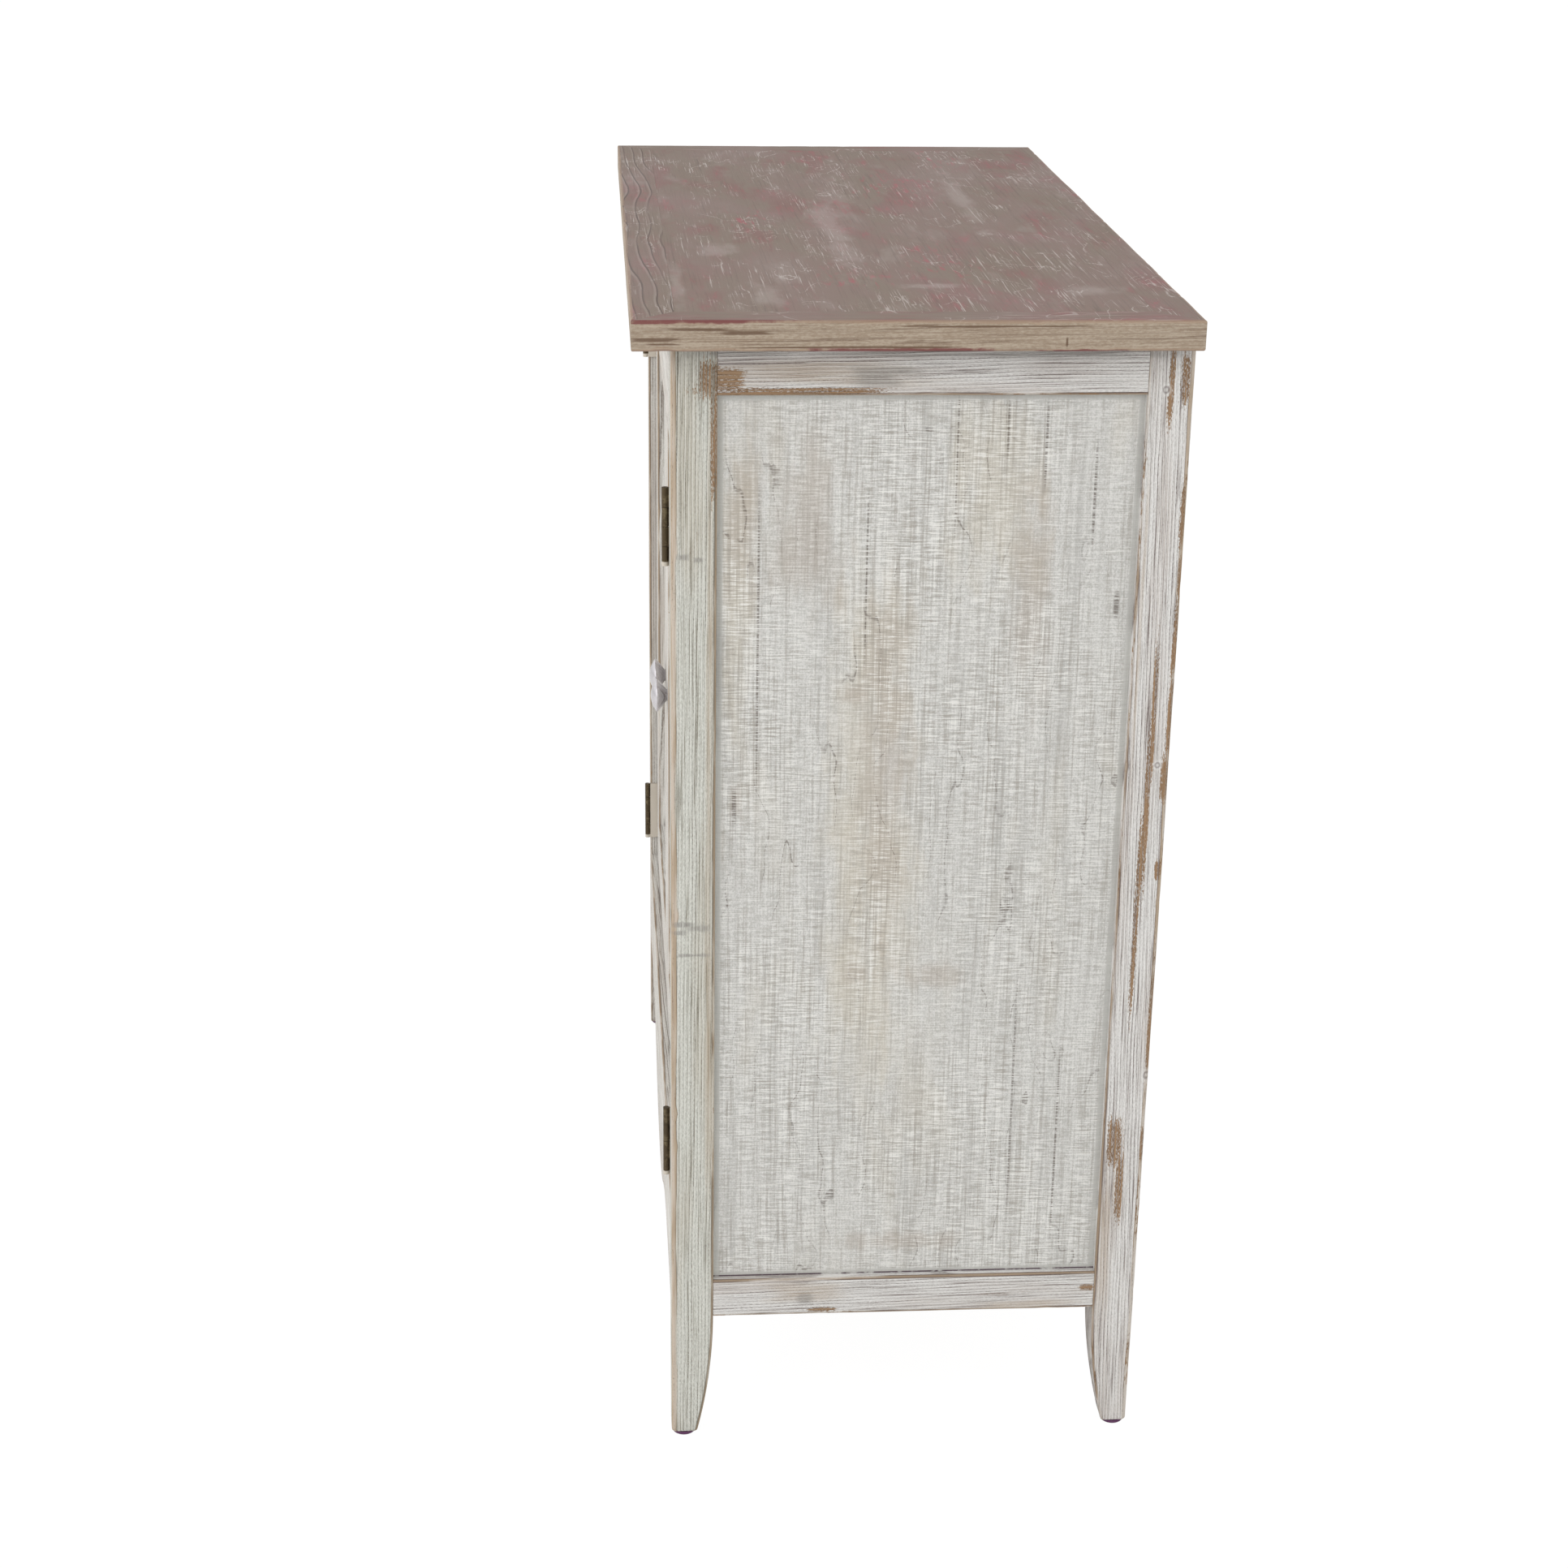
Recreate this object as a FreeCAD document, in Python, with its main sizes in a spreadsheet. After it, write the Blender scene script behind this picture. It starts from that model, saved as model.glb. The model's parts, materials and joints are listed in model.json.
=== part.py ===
import FreeCAD, Part
import math
import os
import re
import Sketcher

# A two-door storage cabinet on four tapered legs, with a bordered top that overhangs the front
# and the sides. The row frame stands on the floor under the middle of the top: X runs across
# the cabinet, the doors face -Y, and Z is up.

# Driving sizes in millimetres: name, size, what it measures
SIZES = (
    ("top_width", 812.0, "top, side to side"),
    ("top_depth", 387.0, "top, front edge to back edge"),
    ("top_thick", 21.0, "top, thickness"),
    ("overhang", 27.0, "how far the top stands out past the posts at the front and sides"),
    ("border_width", 30.0, "mitred border round the top"),
    ("top_arris", 1.5, "rounding of the top's outer edges"),
    ("post_size", 32.0, "square corner post"),
    ("post_height", 864.0, "post and leg, floor glide to top"),
    ("post_arris", 2.5, "rounding of a post's outer corner"),
    ("leg_rise", 105.0, "foot to the underside of the side rails"),
    ("leg_taper", 12.5, "how far a leg's inner faces draw in at the foot"),
    ("foot_round", 3.0, "rounding round the foot"),
    ("glide_radius", 8.0, "floor glide"),
    ("glide_thick", 3.0, "floor glide, thickness"),
    ("glide_round", 2.0, "rounding of a glide's lower edge"),
    ("rail_thick", 20.0, "frame rails, thickness"),
    ("top_rail_height", 36.0, "side top rail"),
    ("bottom_rail_height", 31.5, "side bottom rail"),
    ("frieze_height", 75.0, "rail over the doors"),
    ("apron_height", 88.0, "rail under the doors, at its ends"),
    ("apron_drop", 55.0, "how far the apron's wave hangs below its ends"),
    ("apron_flat", 112.0, "level length of the apron beside each post"),
    ("back_rail_height", 40.0, "rails across the back"),
    ("groove_depth", 6.0, "panel grooves"),
    ("groove_gap", 0.1, "slack on each face of a panel's tongue"),
    ("tongue_gap", 0.5, "slack at the bottom of a groove"),
    ("panel_thick", 6.0, "side and door panels, in the field"),
    ("panel_setback", 5.0, "side panel's face behind the rails"),
    ("bevel_width", 4.5, "bevel round a panel's field"),
    ("bevel_drop", 1.2, "depth of the bevel"),
    ("back_panel_thick", 4.0, "back panel"),
    ("back_setback", 8.0, "back panel in from the back"),
    ("board_thick", 12.0, "floor board"),
    ("board_gap", 0.5, "slack round the floor board and the shelf"),
    ("shelf_thick", 15.0, "shelf"),
    ("shelf_rise", 478.0, "floor to the underside of the shelf"),
    ("cleat_size", 18.0, "square cleats"),
    ("dowel_radius", 3.0, "frame dowels"),
    ("dowel_length", 30.0, "frame dowels"),
    ("dowel_fit", 0.1, "slack round a dowel"),
    ("dowel_end_gap", 0.5, "slack at each end of a dowel"),
    ("dowel_inset", 8.0, "dowel from the edge of its rail"),
    ("door_setback", 7.0, "door face behind the posts"),
    ("door_thick", 18.0, "door frame"),
    ("door_gap", 2.0, "gap over, under and between the doors"),
    ("stile_width", 50.0, "door stiles"),
    ("door_rail_width", 50.0, "door rails"),
    ("door_panel_setback", 6.0, "door panel's face behind the door frame"),
    ("hinge_length", 57.0, "hinge, top to bottom"),
    ("lower_hinge_inset", 46.0, "door's lower end to the middle of a hinge"),
    ("upper_hinge_inset", 60.0, "door's upper end to the middle of a hinge"),
    ("barrel_radius", 2.35, "hinge knuckles"),
    ("barrel_proud", 3.0, "hinge axis in front of the posts"),
    ("knuckle_gap", 0.3, "gap between knuckles"),
    ("pin_radius", 1.2, "hinge pin"),
    ("pin_fit", 0.05, "running clearance round the pin"),
    ("tab_root", 0.3, "knuckle wall kept between the bore and a leaf's tab"),
    ("leaf_thick", 1.2, "hinge leaf"),
    ("leaf_gap", 0.2, "gap between the closed leaves"),
    ("leaf_relief", 0.3, "leaf's front edge behind the knuckles"),
    ("leaf_reach", 20.0, "post front to a leaf's back edge"),
    ("screw_head_radius", 2.6, "countersunk head of a hinge screw"),
    ("screw_radius", 1.3, "hinge screw"),
    ("screw_length", 14.0, "hinge screw"),
    ("screw_fit", 0.1, "slack round a screw"),
    ("screw_setin", 7.5, "hinge screws behind the door's face"),
    ("screw_end", 9.0, "outer hinge screws from the hinge's ends"),
    ("knob_length", 14.0, "knob, door face to tip"),
    ("knob_radius", 14.0, "knob rim"),
    ("knob_base_radius", 5.0, "knob at the door"),
    ("knob_dome", 4.5, "crown of the knob's face"),
    ("knob_rim", 1.5, "straight rim of the knob"),
    ("knob_screw_radius", 2.0, "knob screw"),
    ("knob_screw_bite", 7.0, "knob screw inside the knob"),
    ("knob_head_radius", 4.0, "knob screw's head"),
    ("knob_head_thick", 2.4, "knob screw's head"),
    ("top_screw_radius", 2.0, "screws that hold the top"),
    ("top_screw_bite", 12.0, "top screw inside the top"),
    ("top_head_radius", 4.2, "top screw's head"),
    ("top_head_thick", 2.2, "top screw's head"),
    ("top_screw_end", 30.0, "outer top screws from the ends of their cleat"),
    ("catch_width", 70.0, "double magnetic catch"),
    ("catch_thick", 12.0, "catch body, front to back"),
    ("catch_drop", 21.0, "catch body below the frieze"),
    ("flange_thick", 10.5, "catch flange"),
    ("flange_height", 20.0, "catch flange"),
    ("strike_width", 26.0, "strike plate"),
    ("strike_height", 16.0, "strike plate"),
    ("strike_thick", 1.0, "strike plate"),
    ("strike_inset", 5.0, "strike plate from the door's meeting edge"),
    ("strike_drop", 4.0, "strike plate below the door's top"),
    ("catch_gap", 0.5, "catch to strike"),
    ("overrun", 5.0, "how far cuts run past a surface"),
)

# Places that follow from the sizes, in the row frame
PLACES = (
    ("half_width", "top_width / 2"),
    ("half_depth", "top_depth / 2"),
    ("case_x", "half_width - overhang"),
    ("front_y", "overhang - half_depth"),
    ("foot_z", "glide_thick"),
    ("case_top_z", "foot_z + post_height"),
    ("inner_x", "case_x - post_size"),
    ("inner_front_y", "front_y + post_size"),
    ("inner_back_y", "half_depth - post_size"),
    ("side_run", "inner_back_y - inner_front_y"),
    ("rail_inner_x", "case_x - rail_thick"),
    ("rail_back_y", "front_y + rail_thick"),
    ("tongue", "groove_depth - tongue_gap"),
    ("tongue_thick", "panel_thick - bevel_drop"),
    ("side_back_x", "case_x - panel_setback - panel_thick"),
    ("leg_radius", "(leg_rise ^ 2 + leg_taper ^ 2) / (2 * leg_taper)"),
    ("foot_size", "post_size - leg_taper"),
    ("top_rail_z", "case_top_z - top_rail_height"),
    ("bottom_rail_z", "foot_z + leg_rise"),
    ("panel_low_z", "bottom_rail_z + bottom_rail_height"),
    ("opening_low_z", "bottom_rail_z + apron_height"),
    ("opening_high_z", "case_top_z - frieze_height"),
    ("floor_z", "opening_low_z - board_thick"),
    ("back_top_z", "case_top_z - back_rail_height"),
    ("back_low_z", "floor_z - back_rail_height"),
    ("back_panel_y", "half_depth - back_setback - back_panel_thick"),
    ("wave_half", "inner_x - apron_flat"),
    ("wave_radius", "(wave_half ^ 2 + apron_drop ^ 2) / (4 * apron_drop)"),
    ("hinge_gap", "2 * leaf_thick + leaf_gap"),
    ("barrel_x", "inner_x - hinge_gap / 2"),
    ("barrel_y", "front_y - barrel_proud"),
    ("door_front_y", "front_y + door_setback"),
    ("door_back_y", "door_front_y + door_thick"),
    ("door_hinge_x", "inner_x - hinge_gap"),
    ("door_meet_x", "door_gap / 2"),
    ("door_low_z", "opening_low_z + door_gap"),
    ("door_height", "opening_high_z - door_gap - door_low_z"),
    ("door_opening", "door_hinge_x - door_meet_x - 2 * stile_width"),
    ("door_opening_height", "door_height - 2 * door_rail_width"),
    ("knuckle_length", "(hinge_length - 3 * knuckle_gap) / 4"),
    ("knuckle_pitch", "knuckle_length + knuckle_gap"),
    ("leaf_front", "barrel_radius + leaf_relief"),
    ("leaf_depth", "barrel_proud + leaf_reach - leaf_front"),
    ("screw_y", "door_front_y + screw_setin"),
    ("dowel_bite", "dowel_length / 2 + dowel_end_gap"),
    ("dowel_hole", "dowel_radius + dowel_fit"),
    ("knob_x", "door_meet_x + stile_width / 2"),
    ("knob_cone", "knob_length - knob_dome - knob_rim"),
    ("knob_dome_radius", "(knob_radius ^ 2 + knob_dome ^ 2) / (2 * knob_dome)"),
    ("catch_stand", "door_back_y + strike_thick + catch_gap - rail_back_y"),
)

# Knuckles of a hinge, from its lower end, and who carries them
POST_KNUCKLES = (1, 3)
DOOR_KNUCKLES = (0, 2)

# Rounding of a screw head, as a share of its thickness
HEAD_ROUND_SHARE = 1 / 3

SIZE_NAMES = {name for name, _, _ in SIZES}
PLACE_NAMES = {name for name, _ in PLACES}

X_AXIS = FreeCAD.Vector(1, 0, 0)
Y_AXIS = FreeCAD.Vector(0, 1, 0)
Z_AXIS = FreeCAD.Vector(0, 0, 1)

# Turns that lay a local +Z along each row direction
ALONG = {
    "+X": FreeCAD.Rotation(Y_AXIS, 90),
    "-X": FreeCAD.Rotation(Y_AXIS, -90),
    "+Y": FreeCAD.Rotation(X_AXIS, -90),
    "-Y": FreeCAD.Rotation(X_AXIS, 90),
    "+Z": FreeCAD.Rotation(),
    "-Z": FreeCAD.Rotation(X_AXIS, 180),
}

doc = FreeCAD.newDocument("StorageCabinet")
nodes = []


def formula(text):
    """The text with each plain word turned into a reference to its cell or place."""
    def refer(match):
        word = match.group(0)
        if word in SIZE_NAMES:
            return "Sizes." + word
        return "Places." + word if word in PLACE_NAMES else word
    return re.sub(r"[a-z][a-z_]*", refer, text)


def make_sheet():
    """The spreadsheet of driving sizes."""
    sheet = doc.addObject("Spreadsheet::Sheet", "Sizes")
    for row, (name, size, note) in enumerate(SIZES, 1):
        sheet.set(f"A{row}", name)
        sheet.set(f"B{row}", str(size))
        sheet.setAlias(f"B{row}", name)
        sheet.set(f"C{row}", note)
    doc.recompute()
    return sheet


def make_places():
    """The set of places worked out from the sheet."""
    places = doc.addObject("App::VarSet", "Places")
    for name, text in PLACES:
        places.addProperty("App::PropertyFloat", name)
        places.setExpression(name, formula(text))
        doc.recompute()
    return places


def keep(label, thing):
    """Gives a finished sub-part its name."""
    thing.Label = label
    nodes.append(thing)
    return thing


def place(thing, x, y, z, turn=None):
    """Sets a sub-part's placement from formulas."""
    if turn is not None:
        thing.Placement = FreeCAD.Placement(FreeCAD.Vector(), turn)
    for axis, text in zip("xyz", (x, y, z)):
        thing.setExpression(f".Placement.Base.{axis}", formula(text))


def bind(thing, **formulas):
    """Ties properties to formulas."""
    for name, text in formulas.items():
        thing.setExpression(name, formula(text))


def new_body(label):
    body = doc.addObject("PartDesign::Body", "Body_" + label)
    return keep(label, body)


def origin_plane(body, role):
    return next(plane for plane in body.Origin.OriginFeatures if plane.Role == role)


def new_sketch(body, name, role, offset="0"):
    """A sketch on one of the body's own planes, moved along its normal."""
    sketch = body.newObject("Sketcher::SketchObject", name)
    sketch.AttachmentSupport = [(origin_plane(body, role), "")]
    sketch.MapMode = "FlatFace"
    sketch.setExpression("AttachmentOffset.Base.z", formula(offset))
    return sketch


def hold(sketch, kind, geometry, point, text):
    """Holds a point's distance from the sketch origin at a formula."""
    where = sketch.getPoint(geometry, point)
    now = where.x if kind == "DistanceX" else where.y
    sketch.addConstraint(Sketcher.Constraint(kind, -1, 1, geometry, point, now))
    name = f"{kind}{sketch.ConstraintCount}"
    sketch.renameConstraint(sketch.ConstraintCount - 1, name)
    sketch.setExpression(f"Constraints.{name}", formula(text))


def hold_point(sketch, geometry, point, place_pair):
    hold(sketch, "DistanceX", geometry, point, place_pair[0])
    hold(sketch, "DistanceY", geometry, point, place_pair[1])


def join(sketch, first, second):
    """Makes two (geometry, point) ends one."""
    sketch.addConstraint(Sketcher.Constraint("Coincident", *first, *second))


def add_lines(sketch, points, closed=True):
    """Straight sides through points given as pairs of formulas."""
    count = len(points) if closed else len(points) - 1
    start = sketch.GeometryCount
    for index in range(count):
        low = FreeCAD.Vector(index, index ** 2, 0)
        high = FreeCAD.Vector(index + 1, (index + 1) ** 2, 0)
        sketch.addGeometry(Part.LineSegment(low, high), False)
    for index in range(count):
        hold_point(sketch, start + index, 1, points[index])
        if index + 1 < count:
            join(sketch, (start + index, 2), (start + index + 1, 1))
    if closed:
        join(sketch, (start + count - 1, 2), (start, 1))
    else:
        hold_point(sketch, start + count - 1, 2, points[-1])
    return start


def add_rectangle(sketch, low, high):
    corners = ((low[0], low[1]), (high[0], low[1]), (high[0], high[1]), (low[0], high[1]))
    return add_lines(sketch, corners)


def add_arc(sketch, centre, radius, start_angle, end_angle):
    """An arc from where the solver starts; its joints and holds then fix it."""
    doc.recompute()
    circle = Part.Circle(FreeCAD.Vector(*centre, 0), Z_AXIS, radius)
    return sketch.addGeometry(Part.ArcOfCircle(circle, start_angle, end_angle), False)


def pad(body, sketch, length, name="Pad", backwards=False):
    feature = body.newObject("PartDesign::Pad", name)
    feature.Profile = sketch
    feature.Reversed = backwards
    bind(feature, Length=length)
    return feature


def pocket_through(body, sketch, name, backwards=False):
    feature = body.newObject("PartDesign::Pocket", name)
    feature.Profile = sketch
    feature.Type = "ThroughAll"
    feature.Reversed = backwards
    return feature


def add_box(body, name, low, size, kind="Additive"):
    """A box added to or cut from the body, from its low corner and its size."""
    feature = body.newObject(f"PartDesign::{kind}Box", name)
    bind(feature, Length=size[0], Width=size[1], Height=size[2])
    place(feature, *low)
    return feature


def cut_box(body, name, low, size):
    return add_box(body, name, low, size, "Subtractive")


def cut_round(body, name, base, along, radius, length, kind="Subtractive"):
    """A round hole from a point of its axis, along a direction."""
    feature = body.newObject(f"PartDesign::{kind}Cylinder", name)
    bind(feature, Radius=radius, Height=length)
    place(feature, *base, ALONG[along])
    return feature


def fillet_edges(body, base, name, radius, wanted):
    """Rounds the edges of a feature that the test wants."""
    doc.recompute()
    names = [f"Edge{index}" for index, edge in enumerate(base.Shape.Edges, 1) if wanted(edge)]
    feature = body.newObject("PartDesign::Fillet", name)
    feature.Base = (base, names)
    bind(feature, Radius=radius)
    return feature


def within(value, target):
    return math.isclose(value, target, abs_tol=1e-6)


def mirror_left(label, source):
    """The left-hand twin of a right-hand piece, or the other way round."""
    twin = doc.addObject("Part::Mirroring", "Twin_" + label)
    twin.Source = source
    twin.Base = FreeCAD.Vector()
    twin.Normal = X_AXIS
    return keep(label, twin)


def group(label, members):
    """One node of alike fasteners."""
    compound = doc.addObject("Part::Compound", "Group_" + label)
    compound.Links = members
    return keep(label, compound)


def both_ends(rail_low, height, groove_low=False, groove_high=False):
    """Heights of a rail's two dowels, clear of its panel groove."""
    low = f"{rail_low} + dowel_inset" + (" + groove_depth" if groove_low else "")
    high = f"{rail_low} + {height} - dowel_inset" + (" - groove_depth" if groove_high else "")
    return low, high


# Dowel heights of each rail, in the row frame
SIDE_DOWELS = (*both_ends("top_rail_z", "top_rail_height", groove_low=True),
               *both_ends("bottom_rail_z", "bottom_rail_height", groove_high=True))
FRONT_DOWELS = (*both_ends("opening_high_z", "frieze_height"),
                *both_ends("bottom_rail_z", "apron_height"))
BACK_DOWELS = (*both_ends("back_top_z", "back_rail_height", groove_low=True),
               *both_ends("back_low_z", "back_rail_height", groove_high=True))

# Lower ends of the hinges and, from there, their screws
HINGE_LOWS = {
    "lower": "(door_low_z + lower_hinge_inset - hinge_length / 2)",
    "upper": "(door_low_z + door_height - upper_hinge_inset - hinge_length / 2)",
}
LEAF_SCREWS = ("screw_end", "hinge_length / 2", "(hinge_length - screw_end)")


# The top

def top_border(label, run, x, y, turn):
    """A mitred border board with its outer edge on the local X axis."""
    body = new_body(label)
    half = f"{run} / 2"
    sketch = new_sketch(body, "Outline", "XY_Plane")
    add_lines(sketch, (
        (f"-{half}", "0"),
        (half, "0"),
        (f"{half} - border_width", "border_width"),
        (f"border_width - {half}", "border_width"),
    ))
    base = pad(body, sketch, "top_thick")
    fillet_edges(body, base, "Arris", "top_arris", lambda edge: within(edge.BoundBox.YMax, 0)
                 and within(edge.BoundBox.ZLength, 0))
    place(body, x, y, "case_top_z", FreeCAD.Rotation(Z_AXIS, turn))


def top_field(screw_places):
    """The panel inside the border, with pilot holes for the screws that hold it down."""
    body = new_body("top_field_panel")
    add_box(body, "Board", ("border_width - half_width", "border_width - half_depth", "0"),
            ("top_width - 2 * border_width", "top_depth - 2 * border_width", "top_thick"))
    for index, (x, y) in enumerate(screw_places):
        cut_round(body, f"Pilot{index}", (x, y, "-overrun"), "+Z",
                  "top_screw_radius + screw_fit", "top_screw_bite + dowel_end_gap + overrun")
    place(body, "0", "0", "case_top_z")


# Posts and rails

def leg_cut(body, name, role, backwards):
    """Draws one inner face of the leg in along an arc that leaves the post straight down."""
    sketch = new_sketch(body, name, role)
    line = add_lines(sketch, (
        ("foot_size", "0"),
        ("foot_size", "-overrun"),
        ("post_size + overrun", "-overrun"),
        ("post_size + overrun", "leg_rise"),
        ("post_size", "leg_rise"),
    ), closed=False)
    radius = places.leg_radius
    rise = sizes.get("leg_rise")
    centre = (sizes.get("post_size") - radius, rise)
    arc = add_arc(sketch, centre, radius, -math.asin(rise / radius), 0)
    hold(sketch, "DistanceY", arc, 3, "leg_rise")
    join(sketch, (arc, 1), (line, 1))
    join(sketch, (arc, 2), (line + 3, 2))
    pocket_through(body, sketch, name + "Cut", backwards)


def post(label, front):
    """A corner post, drawn from its outer corner with +X and +Y towards the inside."""
    body = new_body(label)
    sketch = new_sketch(body, "Section", "XY_Plane")
    add_rectangle(sketch, ("0", "0"), ("post_size", "post_size"))
    base = pad(body, sketch, "post_height")
    leg_cut(body, "LegAcross", "XZ_Plane", False)
    leg_cut(body, "LegAlong", "YZ_Plane", True)
    corner = fillet_edges(body, body.Tip, "Corner", "post_arris", lambda edge:
                          within(edge.BoundBox.XMax, 0) and within(edge.BoundBox.YMax, 0))
    fillet_edges(body, corner, "Foot", "foot_round", lambda edge: within(edge.BoundBox.ZMax, 0))
    cut_box(body, "SideGroove",
            ("panel_setback + bevel_drop - groove_gap", "post_size - groove_depth",
             "panel_low_z - groove_depth - foot_z"),
            ("tongue_thick + 2 * groove_gap", "groove_depth + overrun",
             "top_rail_z - panel_low_z + 2 * groove_depth"))
    for index, height in enumerate(SIDE_DOWELS):
        cut_round(body, f"SideDowel{index}", ("rail_thick / 2", "post_size + overrun",
                  f"{height} - foot_z"), "-Y", "dowel_hole", "dowel_bite + overrun")
    for index, height in enumerate(FRONT_DOWELS if front else BACK_DOWELS):
        cut_round(body, f"CrossDowel{index}", ("post_size + overrun", "rail_thick / 2",
                  f"{height} - foot_z"), "-X", "dowel_hole", "dowel_bite + overrun")
    if front:
        for name, low in HINGE_LOWS.items():
            for index, rise in enumerate(LEAF_SCREWS):
                cut_round(body, f"Pilot_{name}{index}",
                          ("post_size + overrun", "screw_y - front_y", f"{low} + {rise} - foot_z"),
                          "-X", "screw_radius + screw_fit", "screw_length + overrun")
        place(body, "-case_x", "front_y", "foot_z")
    else:
        cut_box(body, "BackGroove",
                ("post_size - groove_depth", "back_setback - groove_gap",
                 "floor_z - groove_depth - foot_z"),
                ("groove_depth + overrun", "back_panel_thick + 2 * groove_gap",
                 "back_top_z - floor_z + 2 * groove_depth"))
        place(body, "case_x", "half_depth", "foot_z", FreeCAD.Rotation(Z_AXIS, 180))
    return body


def side_rail(label, height, groove_z, base_z, dowels):
    """A left side rail with a panel groove in one edge and a pair of dowel holes in each end."""
    body = new_body(label)
    add_box(body, "Rail", ("0", "0", "0"), ("rail_thick", "side_run", height))
    cut_box(body, "Groove", ("panel_setback + bevel_drop - groove_gap", "-overrun", groove_z),
            ("tongue_thick + 2 * groove_gap", "side_run + 2 * overrun", "groove_depth + overrun"))
    for index, level in enumerate(dowels):
        rise = f"{level} - {base_z}"
        cut_round(body, f"FrontDowel{index}", ("rail_thick / 2", "-overrun", rise), "+Y",
                  "dowel_hole", "dowel_bite + overrun")
        cut_round(body, f"BackDowel{index}", ("rail_thick / 2", "side_run + overrun", rise), "-Y",
                  "dowel_hole", "dowel_bite + overrun")
    place(body, "-case_x", "inner_front_y", base_z)
    return body


def drill_cross_rail(body, dowels, base_z, depth):
    """Dowel holes in both ends of a rail that runs from post to post about local X = 0."""
    for index, level in enumerate(dowels):
        rise = f"{level} - {base_z}"
        cut_round(body, f"LeftDowel{index}", ("-inner_x - overrun", depth, rise), "+X",
                  "dowel_hole", "dowel_bite + overrun")
        cut_round(body, f"RightDowel{index}", ("inner_x + overrun", depth, rise), "-X",
                  "dowel_hole", "dowel_bite + overrun")


def front_frieze():
    body = new_body("front_frieze")
    add_box(body, "Rail", ("-inner_x", "0", "0"), ("2 * inner_x", "rail_thick", "frieze_height"))
    drill_cross_rail(body, FRONT_DOWELS[:2], "opening_high_z", "rail_thick / 2")
    place(body, "0", "front_y", "opening_high_z")


def front_apron():
    """The rail under the doors: level by the posts, then one wave that hangs in the middle."""
    body = new_body("front_apron")
    sketch = new_sketch(body, "Outline", "XZ_Plane")
    line = add_lines(sketch, (
        ("wave_half", "0"),
        ("inner_x", "0"),
        ("inner_x", "apron_height"),
        ("-inner_x", "apron_height"),
        ("-inner_x", "0"),
        ("-wave_half", "0"),
    ), closed=False)
    radius = places.wave_radius
    half = places.wave_half
    sweep = math.asin(half / (2 * radius))
    quarter = math.pi / 2
    right = add_arc(sketch, (half, -radius), radius, quarter, quarter + sweep)
    middle = add_arc(sketch, (0, radius - sizes.get("apron_drop")), radius, -quarter - sweep,
                     sweep - quarter)
    left = add_arc(sketch, (-half, -radius), radius, quarter - sweep, quarter)
    hold(sketch, "DistanceX", right, 3, "wave_half")
    hold(sketch, "DistanceY", middle, 3, "wave_radius - apron_drop")
    hold(sketch, "DistanceX", left, 3, "-wave_half")
    join(sketch, (right, 1), (line, 1))
    join(sketch, (left, 2), (line + 4, 2))
    join(sketch, (middle, 2), (right, 2))
    join(sketch, (middle, 1), (left, 1))
    hold_point(sketch, right, 2, ("wave_half / 2", "-apron_drop / 2"))
    hold_point(sketch, left, 1, ("-wave_half / 2", "-apron_drop / 2"))
    pad(body, sketch, "rail_thick", backwards=True)
    drill_cross_rail(body, FRONT_DOWELS[2:], "bottom_rail_z", "rail_thick / 2")
    place(body, "0", "front_y", "bottom_rail_z")


def back_rail(label, base_z, groove_z, dowels):
    body = new_body(label)
    add_box(body, "Rail", ("-inner_x", "-rail_thick", "0"),
            ("2 * inner_x", "rail_thick", "back_rail_height"))
    cut_box(body, "Groove",
            ("-inner_x - overrun", "-back_setback - back_panel_thick - groove_gap", groove_z),
            ("2 * inner_x + 2 * overrun", "back_panel_thick + 2 * groove_gap",
             "groove_depth + overrun"))
    drill_cross_rail(body, dowels, base_z, "-rail_thick / 2")
    place(body, "0", "half_depth", base_z)


# Panels and boards

def raised_panel(label, width, height):
    """A panel lying on its back: a tongue all round, a bevel and a raised field."""
    body = new_body(label)
    sheet = new_sketch(body, "Sheet", "XY_Plane")
    add_rectangle(sheet, ("-tongue", "-tongue"), (f"{width} + tongue", f"{height} + tongue"))
    pad(body, sheet, "tongue_thick")
    foot = new_sketch(body, "BevelFoot", "XY_Plane", "tongue_thick")
    add_rectangle(foot, ("0", "0"), (width, height))
    field = new_sketch(body, "Field", "XY_Plane", "panel_thick")
    add_rectangle(field, ("bevel_width", "bevel_width"),
                  (f"{width} - bevel_width", f"{height} - bevel_width"))
    loft = body.newObject("PartDesign::AdditiveLoft", "Raise")
    loft.Profile = foot
    loft.Sections = [field]
    loft.Ruled = True
    return body


def back_panel():
    body = new_body("back_panel")
    add_box(body, "Sheet", ("-inner_x - tongue", "0", "-tongue"),
            ("2 * inner_x + 2 * tongue", "back_panel_thick",
             "back_top_z - floor_z + 2 * tongue"))
    place(body, "0", "back_panel_y", "floor_z")


def notched_board(label, front_notch, thick, base_z):
    """A board between the side panels, cut round the posts."""
    wide = "side_back_x - board_gap"
    narrow = "inner_x - board_gap"
    front = "inner_front_y + board_gap"
    right = []
    if front_notch:
        right += [(narrow, "rail_back_y"), (narrow, front)]
    right += [(wide, front), (wide, "inner_back_y - board_gap"),
              (narrow, "inner_back_y - board_gap"), (narrow, "back_panel_y - board_gap")]
    left = [(f"-({x})", y) for x, y in reversed(right)]
    body = new_body(label)
    sketch = new_sketch(body, "Outline", "XY_Plane")
    add_lines(sketch, right + left)
    pad(body, sketch, thick)
    place(body, "0", "0", base_z)


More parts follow.
